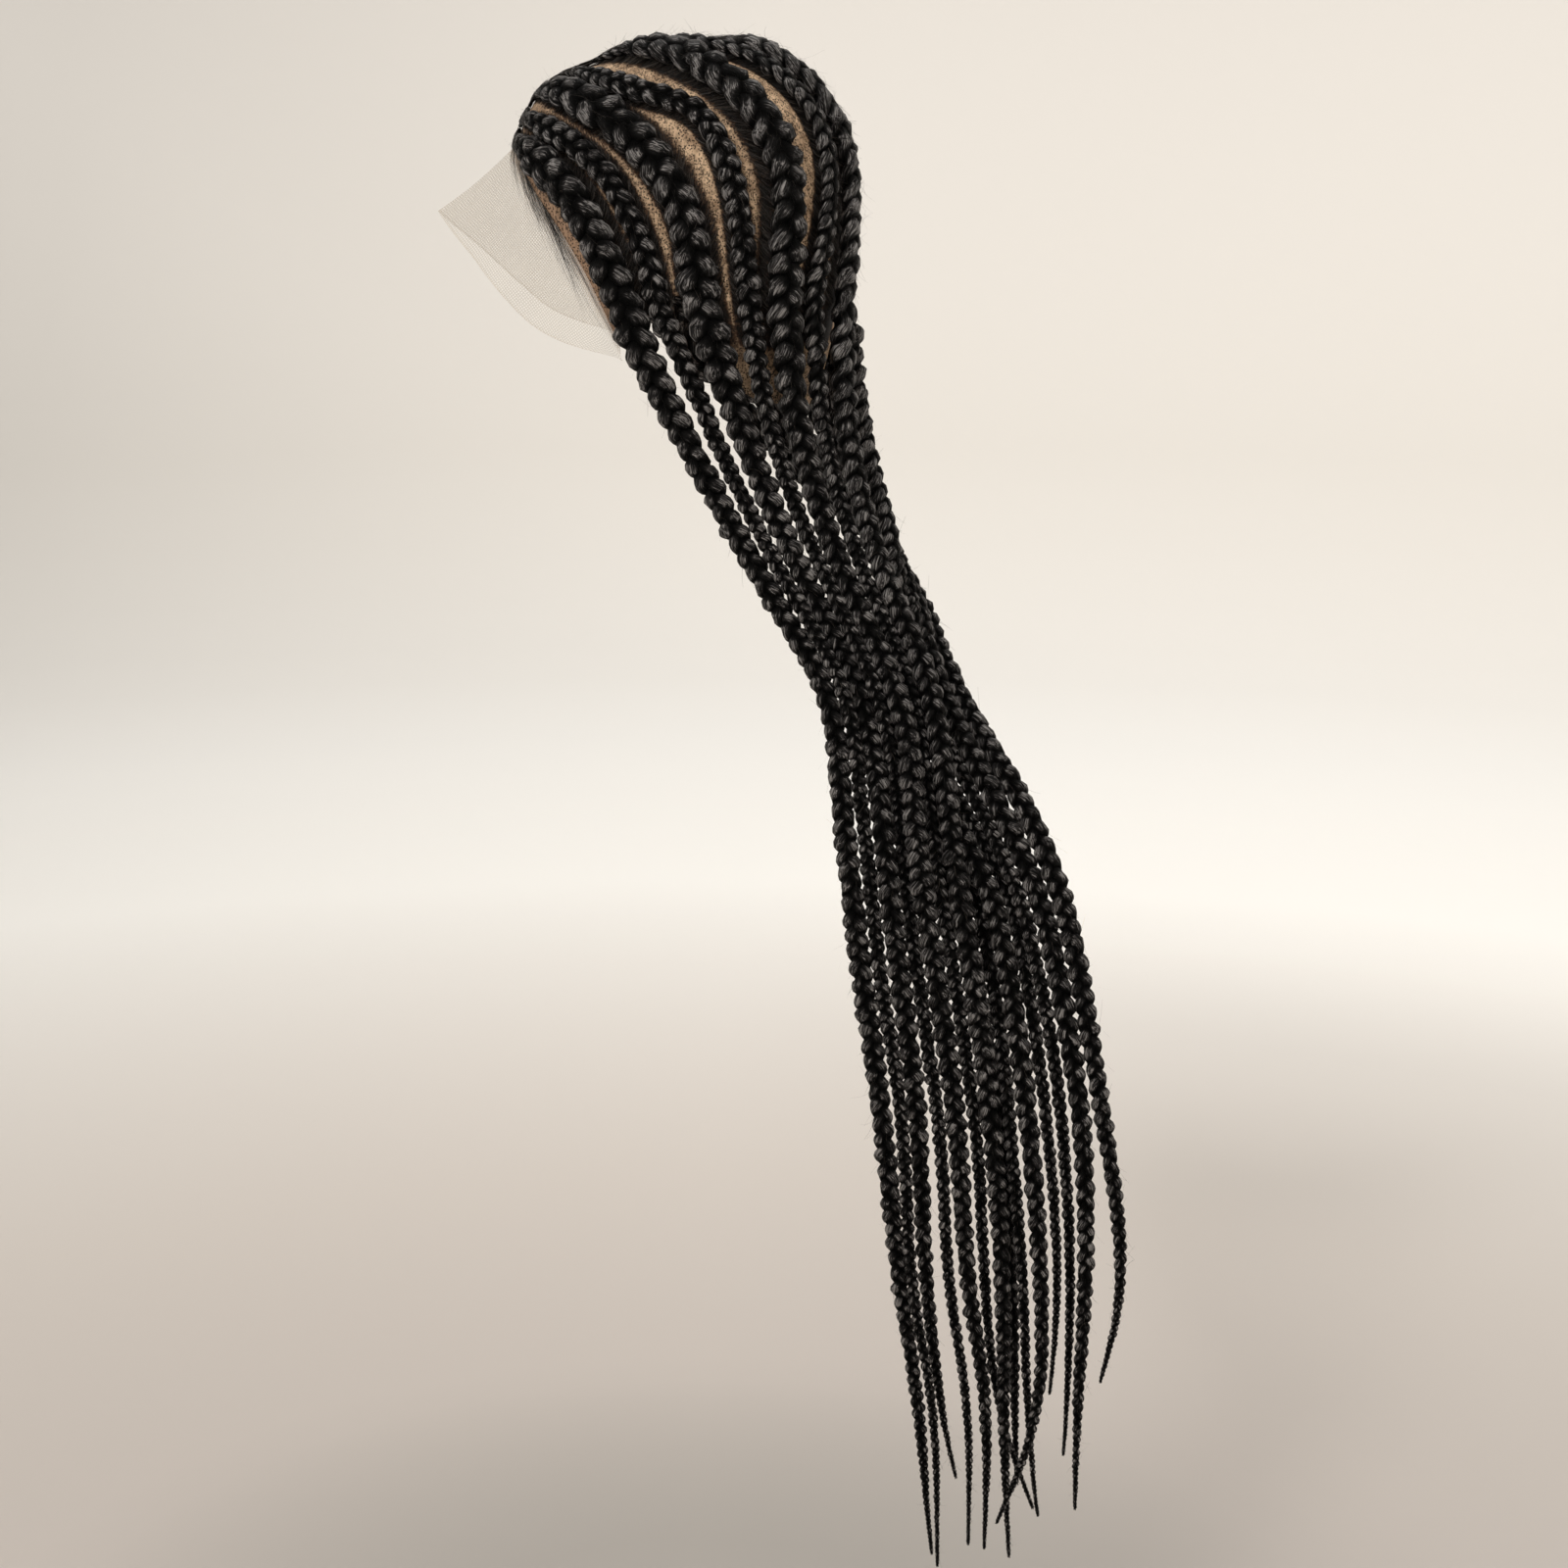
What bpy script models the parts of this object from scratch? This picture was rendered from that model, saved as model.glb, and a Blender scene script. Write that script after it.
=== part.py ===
"""A long plaited wig: fourteen three-strand plaits on a hollow lace cap, swept to the wearer's left.

The origin is the inner crown of the cap, where the top of a head touches it. +Z is up, -Y is the
front of the face and +X is the wearer's left. Lengths are in metres and angles in degrees.
"""

import math
from collections import namedtuple

import bmesh
import bpy
import numpy as np

# The cap, measured on its outer face, and its thin lace wall.
CAP_HALF_WIDTH = 0.077
CAP_HALF_LENGTH = 0.098
CAP_CROWN_RISE = 0.097
CAP_LOWER_DEPTH = 0.172
CAP_SQUARENESS = 2.4
CAP_WALL = 0.0015
CAP_RINGS = 9
CAP_STEP = 8.0
NORMAL_STEP = 0.0005

# The uncut lace in front of the hairline.
LACE_WALL = 0.001
LACE_REACH = 0.147
LACE_DROP = 0.096
LACE_SPAN = 64.0
LACE_FOLD = 0.004
LACE_RIPPLE = 0.4
LACE_RIPPLES = 5.0
LACE_STEPS_ALONG = 24
LACE_STEPS_OUT = 4

# The plaits: widths on the cap and where they hang, and how flat they are.
THICK_ON_CAP = 0.0225
THIN_ON_CAP = 0.0145
THICK_HANGING = 0.0132
THIN_HANGING = 0.0088
ROOT_WIDTH = 0.0055
TIP_WIDTH = 0.0022
FEED_IN_FRONT = 0.055
FEED_IN_BACK = 0.030
FIRST_BACK_ROW = 6
FLATNESS_ON_CAP = 0.55
FLATNESS_HANGING = 0.8
ROUNDING_FALL = 0.09
SIDES = 8
SECTION_STEP = 0.011
UPPER_SECTION_LEVELS = 3
LOWER_SECTION_LEVELS = 4

# The fall of the hair, from the crown down to the longest tip.
HAIR_LENGTH = 0.936
HANG_WIDTH = 0.136
HANG_LEFT_EDGE = 0.124
HANG_FROM_CENTRE = 0.108
NECK_RADIUS = 0.056
NECK_START = 0.010

# Clearances between neighbouring pieces.
SEAT_GAP = 0.0005
LACE_GAP = 0.0004
PLAIT_GAP = 0.0009

# How finely the routes are drawn and settled against each other, and in each round how much of a bend
# is straightened and how much of the way back to its wanted place a plait moves.
POINTS_PER_SPAN = 16
POINTS_ON_CAP = 22
POINTS_ON_ROUTE = 240
LEVEL_STEP = 0.011
FIRST_LEVEL = 0.105
SETTLING_ROUNDS = 200
LAST_ROUNDS = 60
STRAIGHTENING = 0.22
PULLING_BACK = 0.06

# The cap's edge: how far below the crown it lies, as a share of the crown rise, at an angle from the
# front round to the back. Both sides are alike.
Edge = namedtuple("Edge", "angle drop")
CAP_EDGE = (
    Edge(0, 0.58),
    Edge(8, 0.60),
    Edge(27, 0.82),
    Edge(43, 1.11),
    Edge(52, 1.34),
    Edge(58, 1.54),
    Edge(64, 1.72),
    Edge(71, 1.66),
    Edge(80, 1.50),
    Edge(90, 1.46),
    Edge(100, 1.58),
    Edge(110, 1.83),
    Edge(120, 2.03),
    Edge(140, 2.14),
    Edge(180, 2.20),
)

# How much further out than a plain crown the cap stands over the parting, as a share of its distance
# from the middle of the head, by pitch: 0 at the forehead, 90 straight up and 180 at the back.
Crown = namedtuple("Crown", "pitch rise")
CROWN = (
    Crown(0, 0.0),
    Crown(12, 0.020),
    Crown(25, 0.045),
    Crown(37, 0.050),
    Crown(46, 0.034),
    Crown(54, 0.004),
    Crown(62, -0.020),
    Crown(70, -0.014),
    Crown(80, 0.0),
    Crown(180, 0.0),
)

# The free edge of the lace: where along the hairline it belongs, its own angle from the front, how far
# out it lies and how far down, as shares of the lace's reach and drop.
LaceEdge = namedtuple("LaceEdge", "along angle out drop")
LACE_EDGE = (
    LaceEdge(0.00, 0, 1.00, 1.00),
    LaceEdge(0.25, 16, 0.87, 1.27),
    LaceEdge(0.50, 30, 0.80, 1.51),
    LaceEdge(0.65, 38, 0.74, 1.66),
    LaceEdge(0.80, 48, 0.675, 1.76),
    LaceEdge(1.00, 67, 0.555, 1.86),
)

# Where each row of plaiting lies on the cap, from its root by the middle parting to the place where it
# leaves the cap. A place is a pair of angles: pitch is 0 at the forehead, 90 over the ears and 180 at
# the back of the head, and roll is 0 along the parting and 90 at the widest level of the head.
Row = namedtuple("Row", "root rise middle side leave")
ROWS = (
    Row((26, 17), (38, 58), (49, 79), (62, 107), (71, 123)),
    Row((31, 10), (46, 48), (62, 70), (75, 98), (82, 119)),
    Row((39, 7), (58, 40), (77, 60), (94, 88), (99, 122)),
    Row((49, 6), (71, 36), (99, 49), (113, 74), (116, 121)),
    Row((60, 5), (86, 22), (111, 38), (131, 66), (128, 123)),
    Row((78, 5), (100, 13), (126, 23), (147, 46), (140, 129)),
    Row((99, 4), (120, 8), (144, 12), (166, 48), (151, 148)),
)

# The hanging hair as a curtain: the depth below the crown as a share of the hair's length, and at that
# depth the places of the first and last plait of the left side and of the right side, on a line that
# bulges away from the head. A place is (towards the wearer's left, towards the back), and it and the
# bulge are shares of the hanging width.
Curtain = namedtuple("Curtain", "depth left_first left_last right_last right_first bulge")
CURTAIN = (
    Curtain(0.214, (0.55, -0.06), (0.27, 0.71), (-0.06, 0.78), (-0.56, 0.14), 0.10),
    Curtain(0.275, (0.54, 0.15), (0.33, 0.78), (0.13, 0.86), (-0.46, 0.46), 0.07),
    Curtain(0.338, (0.56, 0.40), (0.45, 0.91), (0.36, 1.00), (-0.14, 1.04), 0.02),
    Curtain(0.401, (0.61, 0.69), (0.58, 1.10), (0.46, 0.82), (0.24, 1.16), 0.03),
    Curtain(0.482, (0.71, 0.75), (0.71, 1.18), (0.60, 0.98), (0.60, 1.53), 0.0),
    Curtain(0.525, (0.74, 0.78), (0.74, 1.22), (0.64, 1.25), (0.71, 1.66), 0.0),
    Curtain(0.589, (0.77, 0.825), (0.77, 1.30), (0.68, 1.33), (0.75, 1.765), 0.0),
)

# One row per plait. Width on the cap and where it hangs, then how its tail drifts: the share of the
# hanging width, from its left edge, at four depths; the depth of its tip; and how far it lies in front
# of the others at the bottom. Row numbers count from the temple to the back of the head.
Plait = namedtuple("Plait", "name side row on_cap hanging upper low tail tip tip_depth forward")
PLAITS = (
    Plait("braid_left_1", 1, 1, THICK_ON_CAP, THICK_HANGING, 0.00, 0.08, 0.17, 0.235, 0.994, 0.00),
    Plait("braid_left_2", 1, 2, THIN_ON_CAP, THIN_HANGING, 0.09, 0.13, 0.24, 0.265, 1.000, 0.04),
    Plait("braid_left_3", 1, 3, THICK_ON_CAP, THICK_HANGING, 0.16, 0.20, 0.27, 0.345, 0.941, -0.04),
    Plait("braid_left_4", 1, 4, THIN_ON_CAP, THIN_HANGING, 0.26, 0.30, 0.40, 0.410, 0.987, 0.00),
    Plait("braid_left_5", 1, 5, THICK_ON_CAP, THICK_HANGING, 0.33, 0.39, 0.485, 0.485, 0.990, 0.00),
    Plait("braid_left_6", 1, 6, THIN_ON_CAP, THIN_HANGING, 0.42, 0.47, 0.53, 0.700, 0.964, -0.05),
    Plait("braid_left_7", 1, 7, THICK_ON_CAP, THICK_HANGING, 0.49, 0.55, 0.56, 0.595, 0.994, 0.03),
    Plait("braid_right_7", -1, 7, THICK_ON_CAP, THICK_HANGING, 0.53, 0.60, 0.62, 0.640, 0.951, -0.12),
    Plait("braid_right_6", -1, 6, THIN_ON_CAP, THIN_HANGING, 0.57, 0.645, 0.67, 0.730, 0.966, 0.00),
    Plait("braid_right_5", -1, 5, THICK_ON_CAP, THICK_HANGING, 0.655, 0.72, 0.72, 0.545, 0.964, 0.10),
    Plait("braid_right_4", -1, 4, THIN_ON_CAP, THIN_HANGING, 0.74, 0.80, 0.81, 0.770, 0.874, 0.05),
    Plait("braid_right_3", -1, 3, THICK_ON_CAP, THIN_HANGING, 0.81, 0.865, 0.86, 0.850, 0.925, -0.05),
    Plait("braid_right_2", -1, 2, THIN_ON_CAP, THICK_HANGING, 0.90, 0.925, 0.90, 0.900, 0.959, 0.03),
    Plait("braid_right_1", -1, 1, THICK_ON_CAP, THICK_HANGING, 1.00, 1.10, 1.00, 1.015, 0.869, 0.00),
)
UPPER_DEPTH = 0.689
LOW_DEPTH = 0.799
TAIL_DEPTH = 0.882
LEAST_TAIL = 0.02

# Below the cap the flat side of every plait turns to one side, over this share of the hair's length.
# Above the gathered depth the plaits bend more and have closer sections.
FACING_ANGLE = 90.0
FACING_DROP = 0.30
GATHERED = 0.56

# How the width changes where a plait hangs: at a share of its fall from the cap to its tip it has this
# share of the way from one named width to the next.
Width = namedtuple("Width", "fall from_width to_width part")
WIDTHS = (
    Width(0.00, "cap", "hanging", 0.0),
    Width(0.09, "cap", "hanging", 0.75),
    Width(0.20, "cap", "hanging", 1.0),
    Width(0.55, "hanging", "tip", 0.06),
    Width(0.70, "hanging", "tip", 0.22),
    Width(0.82, "hanging", "tip", 0.42),
    Width(0.90, "hanging", "tip", 0.60),
    Width(1.00, "hanging", "tip", 1.0),
)

SHARP_ANGLE = 50.0
HAIR_BLACK = (0.012, 0.010, 0.010)
LACE_TAN = (0.42, 0.26, 0.15)
LACE_SHEER = (0.72, 0.62, 0.48)


def clear_scene():
    """Removes every object, so that the model starts from nothing."""
    for old in list(bpy.data.objects):
        bpy.data.objects.remove(old, do_unlink=True)


def make_material(name, colour, roughness):
    """A plain coated surface of one colour."""
    material = bpy.data.materials.new(name)
    material.use_nodes = True
    shader = material.node_tree.nodes["Principled BSDF"]
    shader.inputs["Base Color"].default_value = (*colour, 1.0)
    shader.inputs["Roughness"].default_value = roughness
    shader.inputs["Metallic"].default_value = 0.0
    material.diffuse_color = (*colour, 1.0)
    return material


def make_object(name, points, faces, material):
    """A closed mesh object with smooth shading and its faces pointing out."""
    mesh = bpy.data.meshes.new(name)
    mesh.from_pydata([tuple(map(float, p)) for p in points], [], faces)
    edit = bmesh.new()
    edit.from_mesh(mesh)
    bmesh.ops.recalc_face_normals(edit, faces=edit.faces)
    edit.to_mesh(mesh)
    edit.free()
    mesh.materials.append(material)
    mesh.shade_smooth()
    mesh.set_sharp_from_angle(angle=math.radians(SHARP_ANGLE))
    thing = bpy.data.objects.new(name, mesh)
    bpy.context.scene.collection.objects.link(thing)
    return thing


def unit(vectors):
    """The vectors with a length of one."""
    return vectors / np.linalg.norm(vectors, axis=-1, keepdims=True)


def smooth_step(t):
    """A rise from 0 to 1 that starts and ends level."""
    t = np.clip(t, 0.0, 1.0)
    return t * t * (3.0 - 2.0 * t)


def curve_through(knots, count):
    """Points along a smooth curve through the knots, evenly spaced along it."""
    knots = np.asarray(knots, float)
    ends = np.vstack([2 * knots[0] - knots[1], knots, 2 * knots[-1] - knots[-2]])
    gaps = np.sqrt(np.linalg.norm(np.diff(ends, axis=0), axis=1))
    at = np.concatenate([[0.0], np.cumsum(gaps)])
    fine = []
    for i in range(1, len(ends) - 2):
        t = np.linspace(at[i], at[i + 1], POINTS_PER_SPAN, endpoint=False)[:, None]
        p0, p1, p2, p3 = ends[i - 1 : i + 3]
        t0, t1, t2, t3 = at[i - 1 : i + 3]
        a1 = (t1 - t) / (t1 - t0) * p0 + (t - t0) / (t1 - t0) * p1
        a2 = (t2 - t) / (t2 - t1) * p1 + (t - t1) / (t2 - t1) * p2
        a3 = (t3 - t) / (t3 - t2) * p2 + (t - t2) / (t3 - t2) * p3
        b1 = (t2 - t) / (t2 - t0) * a1 + (t - t0) / (t2 - t0) * a2
        b2 = (t3 - t) / (t3 - t1) * a2 + (t - t1) / (t3 - t1) * a3
        fine.append((t2 - t) / (t2 - t1) * b1 + (t - t1) / (t2 - t1) * b2)
    fine = np.vstack(fine + [knots[-1:]])
    return along_line(fine, np.linspace(0.0, 1.0, count))


def along_line(line, shares):
    """The points of a line at some shares of its length."""
    lengths = distances(line)
    at = np.asarray(shares) * lengths[-1]
    return np.stack([np.interp(at, lengths, line[:, k]) for k in range(line.shape[1])], axis=1)


def smooth_table(x, table_x, table_y):
    """A value read from a table on a smooth curve that doesn't overshoot."""
    table_x = np.asarray(table_x, float)
    table_y = np.asarray(table_y, float)
    slope = np.diff(table_y) / np.diff(table_x)
    tangent = np.concatenate([[0.0], slope[:-1] + slope[1:], [0.0]]) / 2
    turns = np.concatenate([[True], slope[:-1] * slope[1:] <= 0, [True]])
    tangent[turns] = 0.0
    i = np.clip(np.searchsorted(table_x, x) - 1, 0, len(slope) - 1)
    h = table_x[i + 1] - table_x[i]
    t = (x - table_x[i]) / h
    rise = (1 + 2 * t) * (1 - t) ** 2 * table_y[i] + t * t * (3 - 2 * t) * table_y[i + 1]
    return rise + h * (t * (1 - t) ** 2 * tangent[i] - t * t * (1 - t) * tangent[i + 1])


def head_centre():
    """The middle of the head at its widest level."""
    return np.array([0.0, 0.0, -CAP_CROWN_RISE])


def cap_half_sizes(height):
    """The cap's half axes for points above or below its widest level."""
    height = np.asarray(height)
    upright = np.where(height > 0, CAP_CROWN_RISE + CAP_WALL, CAP_LOWER_DEPTH)
    across = np.full(height.shape, CAP_HALF_WIDTH)
    return np.stack([across, np.full(height.shape, CAP_HALF_LENGTH), upright], axis=-1)


def cap_reach(directions):
    """How far from the middle of the head rays of length one meet the cap's outer face."""
    scaled = np.abs(directions / cap_half_sizes(directions[..., 2])) ** CAP_SQUARENESS
    plain = scaled.sum(axis=-1) ** (-1 / CAP_SQUARENESS)
    x, y, z = np.moveaxis(directions, -1, 0)
    pitch = np.degrees(np.arccos(np.clip(-y, -1.0, 1.0)))
    by_parting = np.clip(z, 0.0, None) ** 2 / np.maximum(x * x + z * z, 1e-9)
    rise = smooth_table(pitch, [c.pitch for c in CROWN], [c.rise for c in CROWN])
    return plain * (1.0 + rise * by_parting)


def cap_point(directions):
    """Where rays from the middle of the head meet the cap's outer face."""
    return head_centre() + directions * cap_reach(directions)[..., None]


def cap_normal(points):
    """The outward direction of the cap's outer face."""
    from_centre = points - head_centre()
    steep = []
    for step in np.eye(3) * NORMAL_STEP:
        ahead, behind = from_centre + step, from_centre - step
        out = np.linalg.norm(ahead, axis=-1) / cap_reach(unit(ahead))
        back = np.linalg.norm(behind, axis=-1) / cap_reach(unit(behind))
        steep.append(out - back)
    return unit(np.stack(steep, axis=-1))


def cap_radius(angle, height):
    """How far from the upright axis the cap's outer face is, at an angle from the front."""
    below = np.clip(np.abs(height + CAP_CROWN_RISE) / CAP_LOWER_DEPTH, 0.0, 0.999)
    left = 1.0 - below**CAP_SQUARENESS
    across = np.abs(np.sin(angle) / CAP_HALF_WIDTH) ** CAP_SQUARENESS
    along = np.abs(np.cos(angle) / CAP_HALF_LENGTH) ** CAP_SQUARENESS
    return (left / (across + along)) ** (1 / CAP_SQUARENESS)


def edge_point(angle):
    """A point of the cap's edge on its outer face, at an angle in degrees from the front."""
    drop = smooth_table(abs(angle), [e.angle for e in CAP_EDGE], [e.drop for e in CAP_EDGE])
    height = -drop * CAP_CROWN_RISE
    turn = math.radians(angle)
    if height > -CAP_CROWN_RISE:
        up = (height + CAP_CROWN_RISE) / (CAP_CROWN_RISE + CAP_WALL)
        wide = (1 - up**CAP_SQUARENESS) ** (1 / CAP_SQUARENESS)
        reach = wide * float(cap_radius(turn, -CAP_CROWN_RISE))
    else:
        reach = float(cap_radius(turn, height))
    plain = np.array([math.sin(turn) * reach, -math.cos(turn) * reach, float(height)])
    return cap_point(unit(plain - head_centre()))


def edge_angles():
    """Angles all round the cap, close together where its edge turns."""
    half = []
    for a, b in zip(CAP_EDGE, CAP_EDGE[1:]):
        steps = math.ceil((b.angle - a.angle) / CAP_STEP)
        half += [a.angle + (b.angle - a.angle) * k / steps for k in range(steps)]
    half.append(CAP_EDGE[-1].angle)
    return [-a for a in reversed(half[1:-1])] + half


def make_lace_cap(material):
    """The hollow cap, open below, with an outer and an inner face joined along its edge."""
    angles = edge_angles()
    around = len(angles)
    outer = [cap_point(np.array([0.0, 0.0, 1.0]))]
    for ring in range(1, CAP_RINGS + 1):
        for angle in angles:
            down = unit(edge_point(angle) - head_centre())
            tilt = math.acos(down[2]) * ring / CAP_RINGS
            turn = math.radians(angle)
            ray = (math.sin(tilt) * math.sin(turn), -math.sin(tilt) * math.cos(turn), math.cos(tilt))
            outer.append(cap_point(np.array(ray)))
    outer = np.array(outer)
    inner = outer - cap_normal(outer) * CAP_WALL
    inside = len(outer)
    faces = []
    for k in range(around):
        after = (k + 1) % around
        faces.append((0, 1 + k, 1 + after))
        faces.append((inside, inside + 1 + after, inside + 1 + k))
        for ring in range(CAP_RINGS - 1):
            a, b = 1 + ring * around + k, 1 + ring * around + after
            c, d = b + around, a + around
            faces.append((a, d, c, b))
            faces.append((inside + a, inside + b, inside + c, inside + d))
        last = 1 + (CAP_RINGS - 1) * around
        faces.append((last + k, inside + last + k, inside + last + after, last + after))
    return make_object("lace_cap", np.vstack([outer, inner]), faces, material)


def lace_surface(along, out):
    """A point of the lace in front of the hairline, from its sewn edge to its free edge."""
    place = abs(along)
    column = [e.along for e in LACE_EDGE]
    turn = math.radians(smooth_table(place, column, [e.angle for e in LACE_EDGE]))
    reach = LACE_REACH * smooth_table(place, column, [e.out for e in LACE_EDGE])
    drop = LACE_DROP * smooth_table(place, column, [e.drop for e in LACE_EDGE])
    side = math.copysign(1.0, along)
    free = np.array([side * math.sin(turn) * reach, -math.cos(turn) * reach, -drop])
    edge = edge_point(along * LACE_SPAN)
    sewn = edge - cap_normal(edge) * CAP_WALL / 2
    sewn += unit(free - sewn) * (LACE_GAP + LACE_WALL)
    ripple = 1.0 - LACE_RIPPLE * math.cos(LACE_RIPPLES * math.pi * along)
    sag = -LACE_FOLD * math.sin(math.pi * out) * ripple
    return sewn + (free - sewn) * out + np.array([0.0, 0.0, sag])


def make_lace_front(material):
    """The sheer lace that stands out over the forehead and lies over the temples."""
    columns = LACE_STEPS_ALONG + 1
    rows = LACE_STEPS_OUT + 1
    alongs = np.linspace(-1.0, 1.0, columns)
    outs = np.linspace(0.0, 1.0, rows)
    middle = np.array([[lace_surface(a, o) for o in outs] for a in alongs])
    across = np.gradient(middle, axis=0)
    outward = np.gradient(middle, axis=1)
    normal = unit(np.cross(across, outward))
    upper = (middle + normal * LACE_WALL / 2).reshape(-1, 3)
    lower = (middle - normal * LACE_WALL / 2).reshape(-1, 3)
    under = columns * rows
    faces = []
    for i in range(columns - 1):
        for j in range(rows - 1):
            a, b = i * rows + j, (i + 1) * rows + j
            faces.append((a, b, b + 1, a + 1))
            faces.append((under + a, under + a + 1, under + b + 1, under + b))
    rim = [i * rows for i in range(columns)]
    rim += [(columns - 1) * rows + j for j in range(1, rows)]
    rim += [i * rows + rows - 1 for i in range(columns - 2, -1, -1)]
    rim += [j for j in range(rows - 2, 0, -1)]
    for a, b in zip(rim, rim[1:] + rim[:1]):
        faces.append((a, under + a, under + b, b))
    return make_object("lace_front", np.vstack([upper, lower]), faces, material)


def width_on_cap(plait, distance):
    """The width of a plait at a distance from its root, where hair is still being fed in."""
    feed_in = FEED_IN_FRONT if plait.row < FIRST_BACK_ROW else FEED_IN_BACK
    return ROOT_WIDTH + (plait.on_cap - ROOT_WIDTH) * smooth_step(distance / feed_in)


def width_hanging(plait, fall):
    """The width of a plait at a share of its fall from the cap to its tip."""
    named = {"cap": plait.on_cap, "hanging": plait.hanging, "tip": TIP_WIDTH}
    widths = [named[w.from_width] + (named[w.to_width] - named[w.from_width]) * w.part for w in WIDTHS]
    return smooth_table(np.clip(fall, 0.0, 1.0), [w.fall for w in WIDTHS], widths)


def flatness_hanging(fall):
    """Height over width: as flat as on the cap at first, then rounder."""
    return FLATNESS_ON_CAP + (FLATNESS_HANGING - FLATNESS_ON_CAP) * smooth_step(fall / ROUNDING_FALL)


def distances(line):
    """How far along a line each of its points is."""
    return np.concatenate([[0.0], np.cumsum(np.linalg.norm(np.diff(line, axis=0), axis=1))])


def row_direction(place, side):
    """A direction from the middle of the head for a pair of pitch and roll angles."""
    pitch, roll = (math.radians(a) for a in place)
    ring = math.sin(pitch)
    return np.array([side * ring * math.sin(roll), -math.cos(pitch), ring * math.cos(roll)])


def cap_route(plait):
    """The middle line of a plait while it lies on the cap."""
    knots = [row_direction(place, plait.side) for place in ROWS[plait.row - 1]]
    surface = cap_point(unit(curve_through(knots, POINTS_ON_CAP)))
    height = width_on_cap(plait, distances(surface)) * FLATNESS_ON_CAP
    return surface + cap_normal(surface) * (SEAT_GAP + height / 2)[:, None]


def curtain_place(plait, station):
    """Where a plait lies at one level of the curtain, before the plaits settle."""
    if plait.side > 0:
        first, last = station.left_first, station.left_last
    else:
        first, last = station.right_first, station.right_last
    part = (plait.row - 1) / (len(ROWS) - 1)
    chord = np.subtract(last, first)
    out = np.array([chord[1], -chord[0]]) / np.linalg.norm(chord) * plait.side
    arch = station.bulge * 4 * part * (1 - part)
    place = (first + chord * part + out * arch) * HANG_WIDTH
    return np.array([*place, -station.depth * HAIR_LENGTH])


def tail_place(plait, depth, share, forward):
    """Where a plait lies below the curtain."""
    across = HANG_FROM_CENTRE + forward * HANG_WIDTH
    back = HANG_LEFT_EDGE + share * HANG_WIDTH
    return np.array([across, back, -depth * HAIR_LENGTH])


def wanted_route(plait):
    """A plait's middle line before it is pressed aside by its neighbours."""
    knots = list(cap_route(plait))
    knots += [curtain_place(plait, station) for station in CURTAIN]
    half_forward = plait.forward / 2
    knots.append(tail_place(plait, UPPER_DEPTH, plait.upper, half_forward))
    knots.append(tail_place(plait, LOW_DEPTH, plait.low, plait.forward))
    if plait.tip_depth > TAIL_DEPTH + LEAST_TAIL:
        knots.append(tail_place(plait, TAIL_DEPTH, plait.tail, plait.forward))
    knots.append(tail_place(plait, plait.tip_depth, plait.tip, plait.forward))
    return curve_through(knots, POINTS_ON_ROUTE)


def push_apart(place, slope, need, there):
    """Moves plaits that press on each other at one level away from each other."""
    lean = (slope[:, None] + slope[None]) / 2
    apart = place[:, None] - place[None]
    along = (apart * lean).sum(-1, keepdims=True) / (1 + (lean * lean).sum(-1, keepdims=True))
    square = apart - lean * along
    distance = np.sqrt((apart * square).sum(-1).clip(1e-12))
    short = np.where(there[:, None] & there[None], need - distance, 0.0).clip(0.0)
    np.fill_diagonal(short, 0.0)
    return (square / distance[..., None] * short[..., None] / 2).sum(axis=1)


def keep_off_head(place, height, thick):
    """Moves points that lie inside the cap or the neck out to its surface."""
    angle = np.arctan2(place[..., 0], -place[..., 1])
    reach = np.linalg.norm(place, axis=-1)
    head = np.where(height > edge_point(180.0)[2] - NECK_START, cap_radius(angle, height), NECK_RADIUS)
    least = head + thick / 2 + SEAT_GAP
    return place * (np.maximum(reach, least) / reach)[..., None]


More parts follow.
